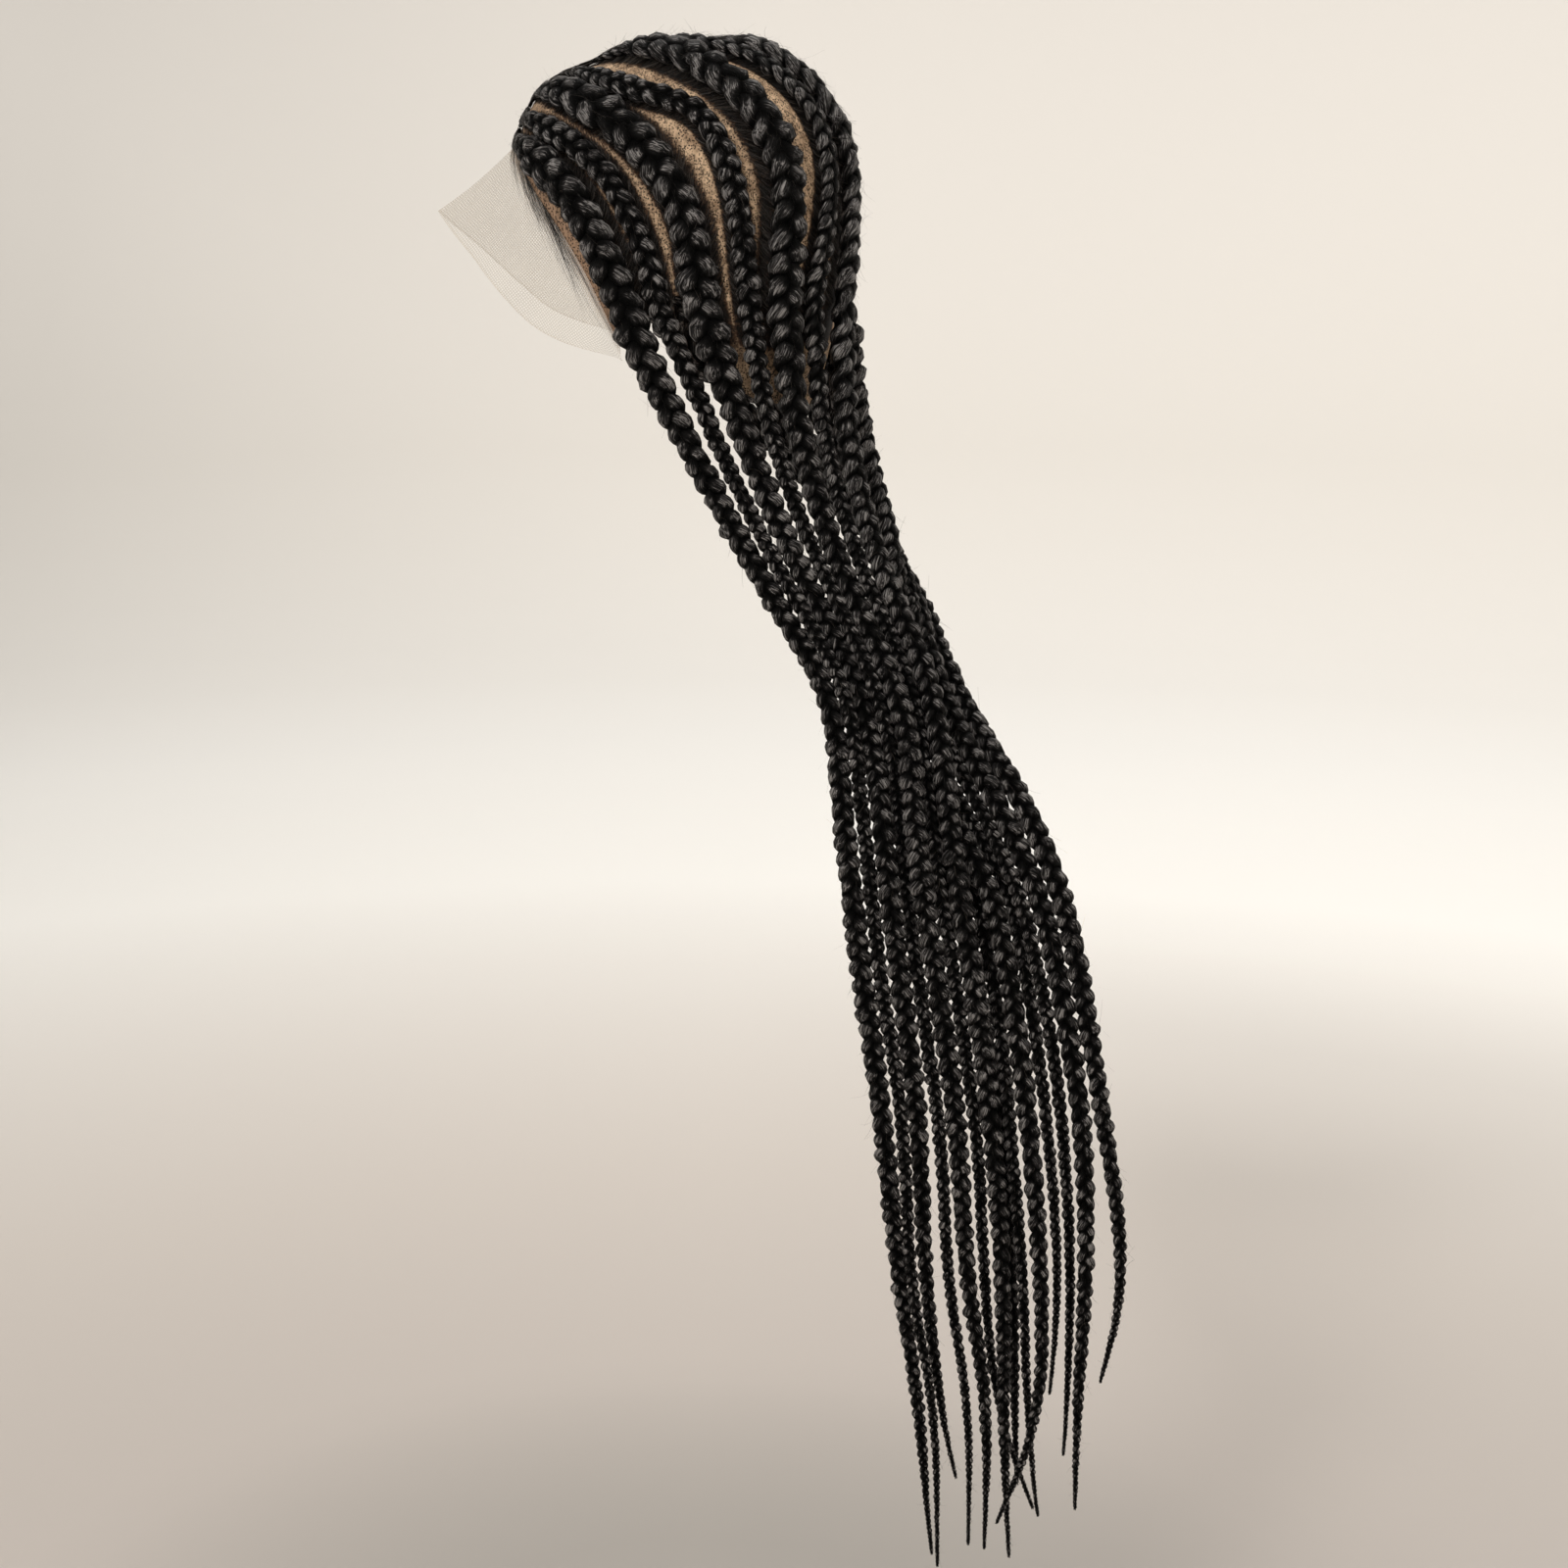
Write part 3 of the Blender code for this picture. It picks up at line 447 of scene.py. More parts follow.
class Nodes:
    """A material's node tree, with short ways to add and join nodes."""

    def __init__(self, name):
        self.material = bpy.data.materials.new(name)
        self.material.use_nodes = True
        self.tree = self.material.node_tree
        self.shader = self.tree.nodes["Principled BSDF"]

    def add(self, kind, **settings):
        """A new node of a kind, with its settings."""
        node = self.tree.nodes.new(kind)
        for key, value in settings.items():
            setattr(node, key, value)
        return node

    def join(self, source, target):
        """A link from one socket to another."""
        self.tree.links.new(source, target)

    def attribute(self, name):
        """A node that reads the numbers or places kept at the mesh's points."""
        return self.add("ShaderNodeAttribute", attribute_name=name, attribute_type="GEOMETRY")

    def noise(self, place, scale, detail=3.0, roughness=0.6):
        """Soft random values from 0 to 1 at a place."""
        node = self.add("ShaderNodeTexNoise")
        node.inputs["Scale"].default_value = scale
        node.inputs["Detail"].default_value = detail
        node.inputs["Roughness"].default_value = roughness
        self.join(place, node.inputs["Vector"])
        return node.outputs["Fac"]

    def cells(self, place, feature, scale, randomness):
        """How far a place is from the middle, or the edge, of its cell."""
        node = self.add("ShaderNodeTexVoronoi", feature=feature)
        node.inputs["Scale"].default_value = scale
        node.inputs["Randomness"].default_value = randomness
        self.join(place, node.inputs["Vector"])
        return node.outputs["Distance"]

    def stretch(self, place, sizes):
        """A place scaled along its three axes."""
        node = self.add("ShaderNodeMapping")
        node.inputs["Scale"].default_value = sizes
        self.join(place, node.inputs["Vector"])
        return node.outputs["Vector"]

    def math(self, operation, a, b=None, c=None):
        """A sum or product of sockets or numbers."""
        node = self.add("ShaderNodeMath", operation=operation)
        for socket, value in zip(node.inputs, (a, b, c)):
            if value is None:
                continue
            if isinstance(value, (int, float)):
                socket.default_value = value
            else:
                self.join(value, socket)
        return node.outputs[0]

    def ramp(self, factor, *stops):
        """A colour read from stops of a position and a colour."""
        node = self.add("ShaderNodeValToRGB")
        while len(node.color_ramp.elements) < len(stops):
            node.color_ramp.elements.new(0.5)
        for element, (position, colour) in zip(node.color_ramp.elements, stops):
            element.position = position
            element.color = (*colour, 1.0)
        self.join(factor, node.inputs["Fac"])
        return node.outputs["Color"]

    def between(self, factor, a, b):
        """A mix of two colours."""
        node = self.add("ShaderNodeMix", data_type="RGBA")
        for socket, value in ((node.inputs[0], factor), (node.inputs[6], a), (node.inputs[7], b)):
            if isinstance(value, tuple):
                socket.default_value = (*value, 1.0)
            elif isinstance(value, (int, float)):
                socket.default_value = value
            else:
                self.join(value, socket)
        return node.outputs[2]

    def bump(self, height, strength, distance):
        """Fine relief on the surface."""
        node = self.add("ShaderNodeBump")
        node.inputs["Strength"].default_value = strength
        node.inputs["Distance"].default_value = distance
        self.join(height, node.inputs["Height"])
        self.join(node.outputs["Normal"], self.shader.inputs["Normal"])

    def surface(self, colour, roughness, **numbers):
        """The surface's colour and roughness, as a number or a socket, and any plain settings."""
        for name, value in (("Base Color", colour), ("Roughness", roughness)):
            socket = self.shader.inputs[name]
            if isinstance(value, (int, float)):
                socket.default_value = value
            else:
                self.join(value, socket)
        for name, value in numbers.items():
            self.shader.inputs[name.replace("_", " ")].default_value = value


def hair_material():
    """Strands of black synthetic hair: fine glossy lines along each strand, painted black as shade in the
    creases and painted grey as sheen on the crowns.
    """
    nodes = Nodes("plaited_hair")
    place = nodes.attribute("fibre_place").outputs["Vector"]
    painted_light_share = nodes.attribute("painted_light_share").outputs["Fac"]
    sway = nodes.add("ShaderNodeTexNoise")
    sway.inputs["Scale"].default_value = 140.0
    sway.inputs["Detail"].default_value = 1.0
    nodes.join(place, sway.inputs["Vector"])
    moved = nodes.add("ShaderNodeVectorMath", operation="MULTIPLY_ADD")
    nodes.join(sway.outputs["Color"], moved.inputs[0])
    moved.inputs[1].default_value = (0.0030, 0.0030, 0.0)
    nodes.join(place, moved.inputs[2])
    fine = nodes.noise(nodes.stretch(moved.outputs[0], FIBRE_STRETCH), FIBRE_SCALE, 2.0, 0.75)
    locks = nodes.noise(nodes.stretch(moved.outputs[0], LOCK_STRETCH), LOCK_SCALE, 2.0)
    patches = nodes.noise(place, PATCH_SCALE, 2.0)
    fibres = nodes.math("MULTIPLY_ADD", fine, 1.35, nodes.math("MULTIPLY_ADD", locks, 0.7, -0.57))
    fibres = nodes.math("MULTIPLY_ADD", patches, 0.5, nodes.math("ADD", fibres, -0.25))
    # Painted shade and sheen: the fibres go black in the creases and light on the crowns.
    tone = nodes.math("MULTIPLY", fibres, painted_light_share)
    colour = nodes.ramp(tone, *HAIR_SHADE_AND_SHEEN_TONES)
    dull = nodes.math("MULTIPLY_ADD", painted_light_share, -0.48, 0.92)
    height = nodes.math("MULTIPLY_ADD", fine, 0.5, locks)
    nodes.bump(height, 1.0, 0.0020)
    nodes.surface(colour, dull, Specular_IOR_Level=0.12)
    return nodes.material


def stray_material():
    """Single hairs, each with its own tone from black to a brown sheen."""
    nodes = Nodes("stray_hair")
    colour = nodes.ramp(nodes.attribute("hair_tone").outputs["Fac"], *SINGLE_HAIR_TONES)
    nodes.surface(colour, 0.5, Specular_IOR_Level=0.25)
    return nodes.material


def scalp_material():
    """Tan lace seen between the rows, painted dark beside the plaits for the roots there and their shade,
    dotted with small knots.
    """
    nodes = Nodes("scalp_lace")
    place = nodes.attribute("cap_place").outputs["Vector"]
    clear = nodes.attribute("clear_of_roots_and_shade").outputs["Fac"]
    hairline = nodes.attribute("by_hairline").outputs["Fac"]
    blotch = nodes.noise(place, 110.0, 3.0)
    skin = nodes.between(hairline, nodes.ramp(blotch, *SCALP_TONES), HAIRLINE_TAN)
    wander = nodes.math("MULTIPLY_ADD", nodes.noise(place, 420.0, 3.0), 1.3, -0.68)
    open_skin = nodes.math("ADD", clear, wander)
    # Beside the plaits the lace is painted dark, partly for the hair fed in there and partly as painted
    # shade.
    shade = nodes.ramp(
        open_skin, (0.05, (0.008, 0.007, 0.007)), (0.42, (0.17, 0.135, 0.120)), (1.00, WHITE)
    )
    tinted = nodes.add("ShaderNodeMix", data_type="RGBA", blend_type="MULTIPLY")
    tinted.inputs[0].default_value = 1.0
    nodes.join(skin, tinted.inputs[6])
    nodes.join(shade, tinted.inputs[7])
    cells = nodes.cells(place, "F1", KNOT_SCALE, 0.85)
    knot = nodes.ramp(cells, (0.29, WHITE), (0.47, BLACK))
    thick = nodes.ramp(nodes.noise(place, 330.0, 2.0), (0.30, (0.45, 0.45, 0.45)), (0.52, WHITE))
    dashes = nodes.noise(nodes.stretch(place, DASH_STRETCH), DASH_SCALE, 1.0)
    dash = nodes.ramp(dashes, (0.58, BLACK), (0.68, WHITE))
    dots = nodes.math("MULTIPLY", nodes.math("MULTIPLY", knot, thick), 0.94)
    dots = nodes.math("MAXIMUM", dots, nodes.math("MULTIPLY", dash, 0.80))
    colour = nodes.between(dots, tinted.outputs[2], KNOT_COLOUR)
    nodes.bump(cells, 0.35, 0.0005)
    nodes.surface(colour, 0.72, Specular_IOR_Level=0.25)
    return nodes.material


def sheer_material():
    """Fine ecru net: threads round open holes, denser along the free edge."""
    nodes = Nodes("sheer_lace")
    place = nodes.attribute("net_place").outputs["Vector"]
    cells = nodes.cells(place, "DISTANCE_TO_EDGE", NET_SCALE, 0.25)
    thread = nodes.ramp(cells, (0.10, WHITE), (0.24, BLACK))
    edge = nodes.attribute("near_edge").outputs["Fac"]
    sewn = nodes.attribute("near_hairline").outputs["Fac"]
    hem = nodes.math("MULTIPLY_ADD", edge, 0.22, 0.02)
    cover = nodes.math("ADD", nodes.math("MULTIPLY", thread, 0.32), hem)
    colour = nodes.ramp(nodes.noise(place, 30.0, 2.0), *NET_TONES)
    colour = nodes.between(sewn, colour, NET_TAN)
    cover = nodes.math("MULTIPLY_ADD", sewn, 0.50, cover)
    nodes.join(cover, nodes.shader.inputs["Alpha"])
    nodes.surface(colour, 0.7, Specular_IOR_Level=0.3)
    return nodes.material


def stage_material():
    """Plain warm paper with painted light, brightest where the floor ends, painted shade under the wig and at
    two sides of the picture, and a faint painted glow.
    """
    nodes = Nodes("stage_paper")
    where = nodes.add("ShaderNodeNewGeometry").outputs["Position"]
    length = nodes.add("ShaderNodeVectorMath", operation="LENGTH")
    nodes.join(where, length.inputs[0])
    far = nodes.math("DIVIDE", length.outputs["Value"], WALL_RADIUS)
    colour = nodes.ramp(far, *PAPER_LIGHT_AND_SHADE_TONES)
    across = nodes.add("ShaderNodeSeparateXYZ")
    nodes.join(where, across.inputs[0])
    faceward = nodes.ramp(nodes.math("MULTIPLY", across.outputs["Y"], -0.5), (0.0, BLACK), (0.7, WHITE))
    backward = nodes.ramp(nodes.math("MULTIPLY", across.outputs["Y"], 0.5), (0.0, BLACK), (0.3, WHITE))
    wall = nodes.ramp(far, (0.60, BLACK), (0.90, WHITE))
    floor = nodes.ramp(far, (0.205, WHITE), (0.24, GREY), (0.36, GREY), (0.42, BLACK))
    # Painted shade at two sides of the picture: on the wall towards the face's side and on the floor towards
    # the back of the head.
    painted_shade_on_wall = nodes.math("MULTIPLY", nodes.math("MULTIPLY", faceward, wall), 0.20)
    painted_shade_on_floor = nodes.math("MULTIPLY", nodes.math("MULTIPLY", backward, floor), 0.42)
    colour = nodes.between(nodes.math("ADD", painted_shade_on_wall, painted_shade_on_floor), colour, (0.04, 0.04, 0.04))
    # A faint painted glow: the paper gives off light of its own, though it is no lamp.
    nodes.shader.inputs["Emission Color"].default_value = (1.0, 0.94, 0.86, 1.0)
    nodes.shader.inputs["Emission Strength"].default_value = 0.15
    grain = nodes.noise(where, 60.0, 3.0)
    nodes.bump(grain, 0.05, 0.002)
    nodes.surface(colour, 0.85, Specular_IOR_Level=0.2)
    return nodes.material


# The plaits.


Route = namedtuple("Route", "at centre outward width height on_cap")


def solid_rings(node):
    """The rings of corners of a plait's solid, from its root to its tip."""
    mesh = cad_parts[node].data
    points = np.array([v.co for v in mesh.vertices])
    corners, which = np.unique(np.round(points, 6), axis=0, return_inverse=True)
    which = which.ravel()
    beside = [set() for _ in corners]
    for edge in mesh.edges:
        a, b = (int(which[v]) for v in edge.vertices)
        beside[a].add(b)
        beside[b].add(a)
    ring = set(int(k) for k in np.argsort(corners[:, 2])[:SIDES_OF_SOLID])
    seen = set(ring)
    rings = []
    while ring:
        rings.append(corners[sorted(ring)])
        ring = set().union(*(beside[k] for k in ring)) - seen
        seen |= ring
    return rings[::-1]


def plait_route(name):
    """A plait's middle line with its facing, width and height, from its solid."""
    rings = solid_rings(f"braid_{name}")
    centre = np.array([r.mean(axis=0) for r in rings])
    outward, width, height = [], [], []
    for ring, middle in zip(rings, centre):
        spread, axes = np.linalg.eigh((ring - middle).T @ (ring - middle))
        side = axes[:, 1]
        before = outward[-1] if outward else middle - HEAD_CENTRE
        outward.append(side if side @ before > 0 else -side)
        width.append(2 * math.sqrt(2 * spread[2] / len(ring)))
        height.append(2 * math.sqrt(2 * spread[1] / len(ring)))
    at = distances(centre)
    flat = np.array(height) / np.array(width)
    last_flat = np.flatnonzero(flat < FLAT_ON_CAP + 0.01)[-1]
    return Route(at, centre, np.array(outward), np.array(width), np.array(height), at[last_flat])


def read_route(route, wanted):
    """The middle line, facing, width and height of a plait at distances from its root."""
    centre = smooth_through(route.at, route.centre, wanted)
    outward = unit(smooth_through(route.at, route.outward, wanted))
    width = np.interp(wanted, route.at, route.width)
    height = np.interp(wanted, route.at, route.height)
    along = unit(np.gradient(centre, wanted, axis=0))
    sideways = unit(np.cross(along, outward))
    return centre, sideways, unit(np.cross(sideways, along)), width, height


def plait_turns(route, rng):
    """Sampling distances along a plait and how far its pattern has turned at each."""
    fine = np.linspace(0.0, route.at[-1], 4000)
    width = np.interp(fine, route.at, route.width)
    flat = np.interp(fine, route.at, route.height / route.width)
    loose = smooth_step((flat - FLAT_ON_CAP) / (FLAT_HANGING - FLAT_ON_CAP))
    to_tip = smooth_step((fine / route.at[-1] - TO_TIP_START) / TO_TIP_LENGTH)
    hanging = (PITCH_HANGING + (PITCH_AT_TIP - PITCH_HANGING) * to_tip) * width
    pitch = (PITCH_ON_CAP * width + PITCH_ON_CAP_LEAST) * (1 - loose) + hanging * loose
    pitch *= 1.0 + TIGHTNESS * waves(rng, TIGHTNESS_LENGTH)(fine)
    period = STRANDS * pitch
    step = fine[1] - fine[0]
    turned = np.cumsum(2 * math.pi / period) * step
    samples = np.interp(period, [FINE_PERIOD, COARSE_PERIOD], RINGS_IN_TURN)
    density = np.cumsum(samples / period) * step
    count = int(density[-1])
    at = np.interp(np.linspace(density[0], density[-1], count), density, fine)
    return at, np.interp(at, fine, turned)


def strand_points(route, at, turned, strand, rng):
    """The rings of one strand of a plait, with each point's place among its fibres and how far out of the
    creases it lies, for its painted shade and sheen.
    """
    centre, sideways, outward, width, height = read_route(route, at)
    turn = turned + 2 * math.pi * strand / STRANDS
    loose = smooth_step((height / width - FLAT_ON_CAP) / (FLAT_HANGING - FLAT_ON_CAP))
    proud = PROUD_ON_CAP + (PROUD_HANGING - PROUD_ON_CAP) * loose
    wide = proud * width
    high = proud * height
    half_wide = STRAND_HALF_WIDTH * wide
    half_high = STRAND_HALF_HEIGHT * high
    swell = 1.0 + SWELL * waves(rng, SWELL_LENGTH)(at)
    sway = 1.0 + SWAY_ACROSS * waves(rng, SWAY_ACROSS_LENGTH)(at)
    x = (wide / 2 - half_wide) * np.sin(turn) * sway
    y = (high / 2 - half_high) * np.sin(2 * turn)
    y += SWAY_OUT * height * waves(rng, SWAY_OUT_LENGTH)(at)
    line = centre + sideways * x[:, None] + outward * y[:, None]
    along = unit(np.gradient(line, at, axis=0))
    across = unit(np.cross(along, outward))
    up = unit(np.cross(across, along))
    on_top = np.sin(2 * turn)
    plump = THIN_AT_CROSSING + PLUMP_AT_SIDE * np.abs(np.sin(turn))
    angle = 2 * math.pi * np.arange(STRAND_SIDES) / STRAND_SIDES
    ridge_turn = RIDGE_TURN * waves(rng, RIDGE_LENGTH)(at)[:, None]
    ridge = 1.0 + RIDGE * np.sin(RIDGES * angle[None] + ridge_turn)
    tip = np.sqrt(np.clip((at[-1] - at) / ROUND_TIP, 0.02, 1.0))
    tip = tip * np.sqrt(np.clip(at / ROUND_ROOT, 0.1, 1.0))
    full = (swell * tip * plump * (1.0 + FULLER_ON_TOP * on_top))[:, None] * ridge
    by_side = np.cos(angle)[None] * half_wide[:, None] * full
    by_face = np.sin(angle)[None] * half_high[:, None] * full
    offset = across[:, None] * by_side[..., None] + up[:, None] * by_face[..., None]
    points = line[:, None] + offset
    from_middle = points - centre[:, None]
    out_x = (from_middle * sideways[:, None]).sum(-1) / (wide / 2)[:, None]
    out_y = (from_middle * outward[:, None]).sum(-1) / (high / 2)[:, None]
    # How far a point lies out of the creases: 0 where it is painted black as shade, 1 where it is painted
    # light as sheen.
    painted_light_share = smooth_step((np.sqrt(out_x**2 + out_y**2) - CREASE_END) / CREASE_FADE)
    run = np.broadcast_to(distances(line)[:, None], by_side.shape)
    place = np.stack([by_side - FIBRE_LEAN * x[:, None], by_face, run], axis=-1) + rng.uniform(0.0, 3.0, 3)
    return points, place, painted_light_share


def make_plait(name, route, material, rng):
    """One plait of three strands, in one mesh, in place of its plain solid."""
    at, turned = plait_turns(route, rng)
    turned = turned + rng.uniform(0, 2 * math.pi)
    points, places, opens, faces = [], [], [], []
    for strand in range(STRANDS):
        rings, place, painted_light_share = strand_points(route, at, turned, strand, rng)
        start = sum(len(p) for p in points)
        points.append(rings.reshape(-1, 3))
        places.append(place.reshape(-1, 3))
        opens.append(painted_light_share.ravel())
        faces.append(grid_faces(len(at), STRAND_SIDES, closed=True)[:, ::-1] + start)
    piece = make_piece(
        f"plait_{name}",
        np.vstack(points),
        np.vstack(faces),
        material,
        values={"painted_light_share": np.concatenate(opens)},
        places={"fibre_place": np.vstack(places)},
    )
    close_ends(piece.data, len(at), STRAND_SIDES)
    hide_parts(f"braid_{name}")


def close_ends(mesh, rings, sides):
    """Fills both ends of each tube of a mesh."""
    edit = bmesh.new()
    edit.from_mesh(mesh)
    edit.verts.ensure_lookup_table()
    tube = rings * sides
    for start in range(0, len(edit.verts), tube):
        first = [edit.verts[start + k] for k in range(sides)]
        last = [edit.verts[start + tube - sides + k] for k in range(sides)]
        edit.faces.new(first).smooth = True
        edit.faces.new(last[::-1]).smooth = True
    edit.to_mesh(mesh)
    edit.free()


# The scalp.


def make_scalp(routes):
    """The lace cap with a finer mesh, shaded by how near its points are to a plait."""
    angles = np.linspace(-180.0, 180.0, CAP_COLUMNS, endpoint=False)
    down = unit(edge_points(angles) - HEAD_CENTRE)
    tilt = np.arccos(down[:, 2])
    share = np.linspace(0.002, 1.0, CAP_RINGS)[:, None]
    ring_tilt = share * tilt[None]
    turn = np.radians(angles)[None]
    rays = np.stack(
        [np.sin(ring_tilt) * np.sin(turn), -np.sin(ring_tilt) * np.cos(turn), np.cos(ring_tilt)], axis=-1
    )
    outer = cap_point(rays).reshape(-1, 3)
    inner = outer - cap_normal(outer) * NET_WALL
    faces = grid_faces(CAP_RINGS, CAP_COLUMNS, closed=True)
    top = np.arange(CAP_COLUMNS)
    rim = (CAP_RINGS - 1) * CAP_COLUMNS + np.arange(CAP_COLUMNS)
    after = np.roll(rim, -1)
    inside = len(outer)
    rim_faces = np.stack([rim, after, inside + after, inside + rim], axis=-1)
    nearby = plait_spots(routes)
    open_share = np.array([openness(nearby, p) for p in outer])
    # Along the middle parting the scalp is painted dark too, as roots and shade, up to where the band ends at
    # the back.
    off_middle = smooth_step((np.abs(outer[:, 0]) - MIDDLE_BAND) / MIDDLE_FADE)
    far_back = smooth_step((outer[:, 1] - MIDDLE_END) / 0.02)
    open_share *= np.maximum(off_middle, far_back)
    # The hairline is the part of the edge in front of the ear.
    line = edge_points(np.linspace(-HAIRLINE_ANGLE, HAIRLINE_ANGLE, HAIRLINE_POINTS))
    to_line = np.sqrt(((outer[:, None] - line[None]) ** 2).sum(-1).min(axis=1))
    by_line = smooth_step(1.0 - to_line / HAIRLINE_FADE)
    points = np.vstack([outer, inner])
    both = np.vstack([faces, (faces[:, ::-1] + inside), rim_faces])
    piece = make_piece(
        "scalp_lace_cap",
        points,
        both,
        scalp_material(),
        values={
            "clear_of_roots_and_shade": np.concatenate([open_share, np.ones(inside)]),
            "by_hairline": np.concatenate([by_line, np.zeros(inside)]),
        },
        places={"cap_place": points},
    )
    edit = bmesh.new()
    edit.from_mesh(piece.data)
    edit.verts.ensure_lookup_table()
    edit.faces.new([edit.verts[k] for k in top[::-1]])
    edit.faces.new([edit.verts[inside + k] for k in top])
    bmesh.ops.recalc_face_normals(edit, faces=edit.faces)
    for face in edit.faces:
        face.smooth = True
    edit.to_mesh(piece.data)
    edit.free()
    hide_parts("lace_cap")


Nearby = namedtuple("Nearby", "tree spots half_widths frontward front back")


def plait_spots(routes):
    """Points along the plaits where they lie on the cap, for finding what is near them."""
    spots, half_widths, frontward, front, back = [], [], [], [], []
    for name, route in routes.items():
        at = np.arange(0.0, route.on_cap + 0.03, 0.0015)
        centre, sideways, _, width, _ = read_route(route, at)
        side, row = name.split("_")
        feed = FEEDS[int(row) - 1]
        spots.append(on_cap(centre))
        half_widths.append(width / 2)
        frontward.append(sideways if side == "left" else -sideways)
        front.append(np.full(len(at), feed.front))
        back.append(np.full(len(at), feed.back))
    spots = np.vstack(spots)
    tree = KDTree(len(spots))
    for k, spot in enumerate(spots):
        tree.insert(spot, k)
    tree.balance()
    return Nearby(tree, spots, *(np.concatenate(c) for c in (half_widths, frontward, front, back)))


def openness(nearby, point):
    """How free a point of the cap is of the hair fed into the plaits near it, and of the shade painted beside
    them, from 0 to 1.
    """
    least = 1.0
    for _, k, distance in nearby.tree.find_n(point, NEAREST_SPOTS):
        gap = distance - nearby.half_widths[k]
        ahead = (np.array(point) - nearby.spots[k]) @ nearby.frontward[k] > 0
        reach = nearby.front[k] if ahead else nearby.back[k]
        least = min(least, max(gap / reach, 0.0))
    return least


# The sheer lace in front.


def lace_ends(alongs):
    """The sewn edge and the free edge of the lace, at places from -1 to 1 along it."""
    place = np.abs(alongs)
    column = [e.along for e in LACE_EDGE]
    turn = np.radians(smooth_table(place, column, [e.angle for e in LACE_EDGE]))
    reach = LACE_REACH * smooth_table(place, column, [e.out for e in LACE_EDGE])
    drop = LACE_DROP * smooth_table(place, column, [e.drop for e in LACE_EDGE])
    free = np.stack([np.copysign(1.0, alongs) * np.sin(turn) * reach, -np.cos(turn) * reach, -drop], axis=-1)
    edge = edge_points(alongs * LACE_SPAN)
    sewn = edge - cap_normal(edge) * NET_WALL / 2
    return sewn + unit(free - sewn) * LACE_START, free


def lace_points(alongs, outs):
    """Points of the lace in front of the hairline, from its sewn edge to its free edge."""
    sewn, free = lace_ends(alongs)
    sag = -LACE_FOLD * np.sin(math.pi * outs)[None] * (1.0 - 0.4 * np.cos(5.0 * math.pi * alongs))[:, None]
    points = sewn[:, None] + (free - sewn)[:, None] * outs[None, :, None]
    points[..., 2] += sag
    return points


def make_lace():
    """The sheer lace as a thin net, its free edge cut a little wavy."""
    alongs = np.linspace(-1.0, 1.0, LACE_COLUMNS)
    outs = np.linspace(0.0, 1.0, LACE_ROWS)
    points = lace_points(alongs, outs)
    across = np.gradient(points, axis=0)
    outward = np.gradient(points, axis=1)
    normal = unit(np.cross(across, outward))
    ripple = LACE_RIPPLE * np.sin(alongs * 23.0)[:, None] * np.sin(outs * 4.0)[None]
    points = points + normal * ripple[..., None]
    along_at = np.cumsum(np.linalg.norm(np.diff(points, axis=0, prepend=points[:1]), axis=-1), axis=0)
    out_at = np.cumsum(np.linalg.norm(np.diff(points, axis=1, prepend=points[:, :1]), axis=-1), axis=1)
    along_at -= along_at[LACE_COLUMNS // 2]
    place = np.stack([along_at, out_at, np.zeros(out_at.shape)], axis=-1)
    out_share = np.broadcast_to(outs[None], points.shape[:2])
    by_edge = smooth_step((out_share - LACE_HEM_START) / (1.0 - LACE_HEM_START))
    by_hairline = smooth_step(1.0 - out_at / LACE_TAN_REACH)
    faces = grid_faces(LACE_COLUMNS, LACE_ROWS, closed=False)
    piece = make_piece(
        "sheer_lace_net",
        points.reshape(-1, 3),
        faces,
        sheer_material(),
        values={"near_edge": by_edge, "near_hairline": by_hairline},
        places={"net_place": place.reshape(-1, 3)},
    )
    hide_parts("lace_front")


# Single hairs.


def make_hairs(name, lines, widths, material, rng):
    """Many thin flat hairs in one mesh: lines is hairs by points by three."""
    hairs, steps = lines.shape[:2]
    along = unit(np.gradient(lines, axis=1))
    any_way = unit(rng.normal(size=(hairs, 1, 3)))
    side = unit(np.cross(along, any_way))
    taper = np.linspace(1.0, 0.35, steps)[None, :, None]
    half = side * widths[:, None, None] / 2 * taper
    points = np.stack([lines - half, lines + half], axis=2).reshape(-1, 3)
    strip = grid_faces(steps, 2, closed=False)
    faces = (strip[None] + (np.arange(hairs) * steps * 2)[:, None, None]).reshape(-1, 4)
    tone = np.repeat(rng.random(hairs), steps * 2)
    make_piece(name, points, faces, material, values={"hair_tone": tone})


def feed_hairs(name, route, rng):
    """Short hairs that lead from the partings back into one plait."""
    side, row = name.split("_")
    feed = FEEDS[int(row) - 1]
    lines = []
    for reach, hand in ((feed.front, 1.0), (feed.back, -1.0)):
        hand = hand if side == "left" else -hand
        count = int(route.on_cap / FEED_SPACING * (0.6 + reach / 0.006))
        at = np.sort(rng.uniform(0.002, route.on_cap + FEED_PAST_CAP, count))
        centre, sideways, _, width, _ = read_route(route, at)
        along = unit(np.gradient(centre, at, axis=0))
        out = (reach * rng.random(count) ** FEED_CROWDING)[:, None]
        root = centre + sideways * hand * (width[:, None] / 2 + out)
        root -= along * (out * 0.9 + rng.uniform(0.0, 0.002, (count, 1)))
        into = centre + sideways * hand * width[:, None] * rng.uniform(*FEED_INTO, (count, 1))
        into += along * (out * 0.6 + rng.uniform(0.001, 0.005, (count, 1)))
        steps = np.linspace(0.0, 1.0, 4)
        share = steps[None, :, None]
        bow = np.sin(share * math.pi) * rng.normal(0.0, FEED_BOW, (count, 1, 1)) * along[:, None]
        line = root[:, None] * (1 - share) + into[:, None] * share + bow
        rise = (0.0004 + width * rng.uniform(*FEED_RISE, count))[:, None]
        lines.append(on_cap(line, FEED_LIFT + steps[None] ** 1.6 * rise))
    return np.concatenate(lines)


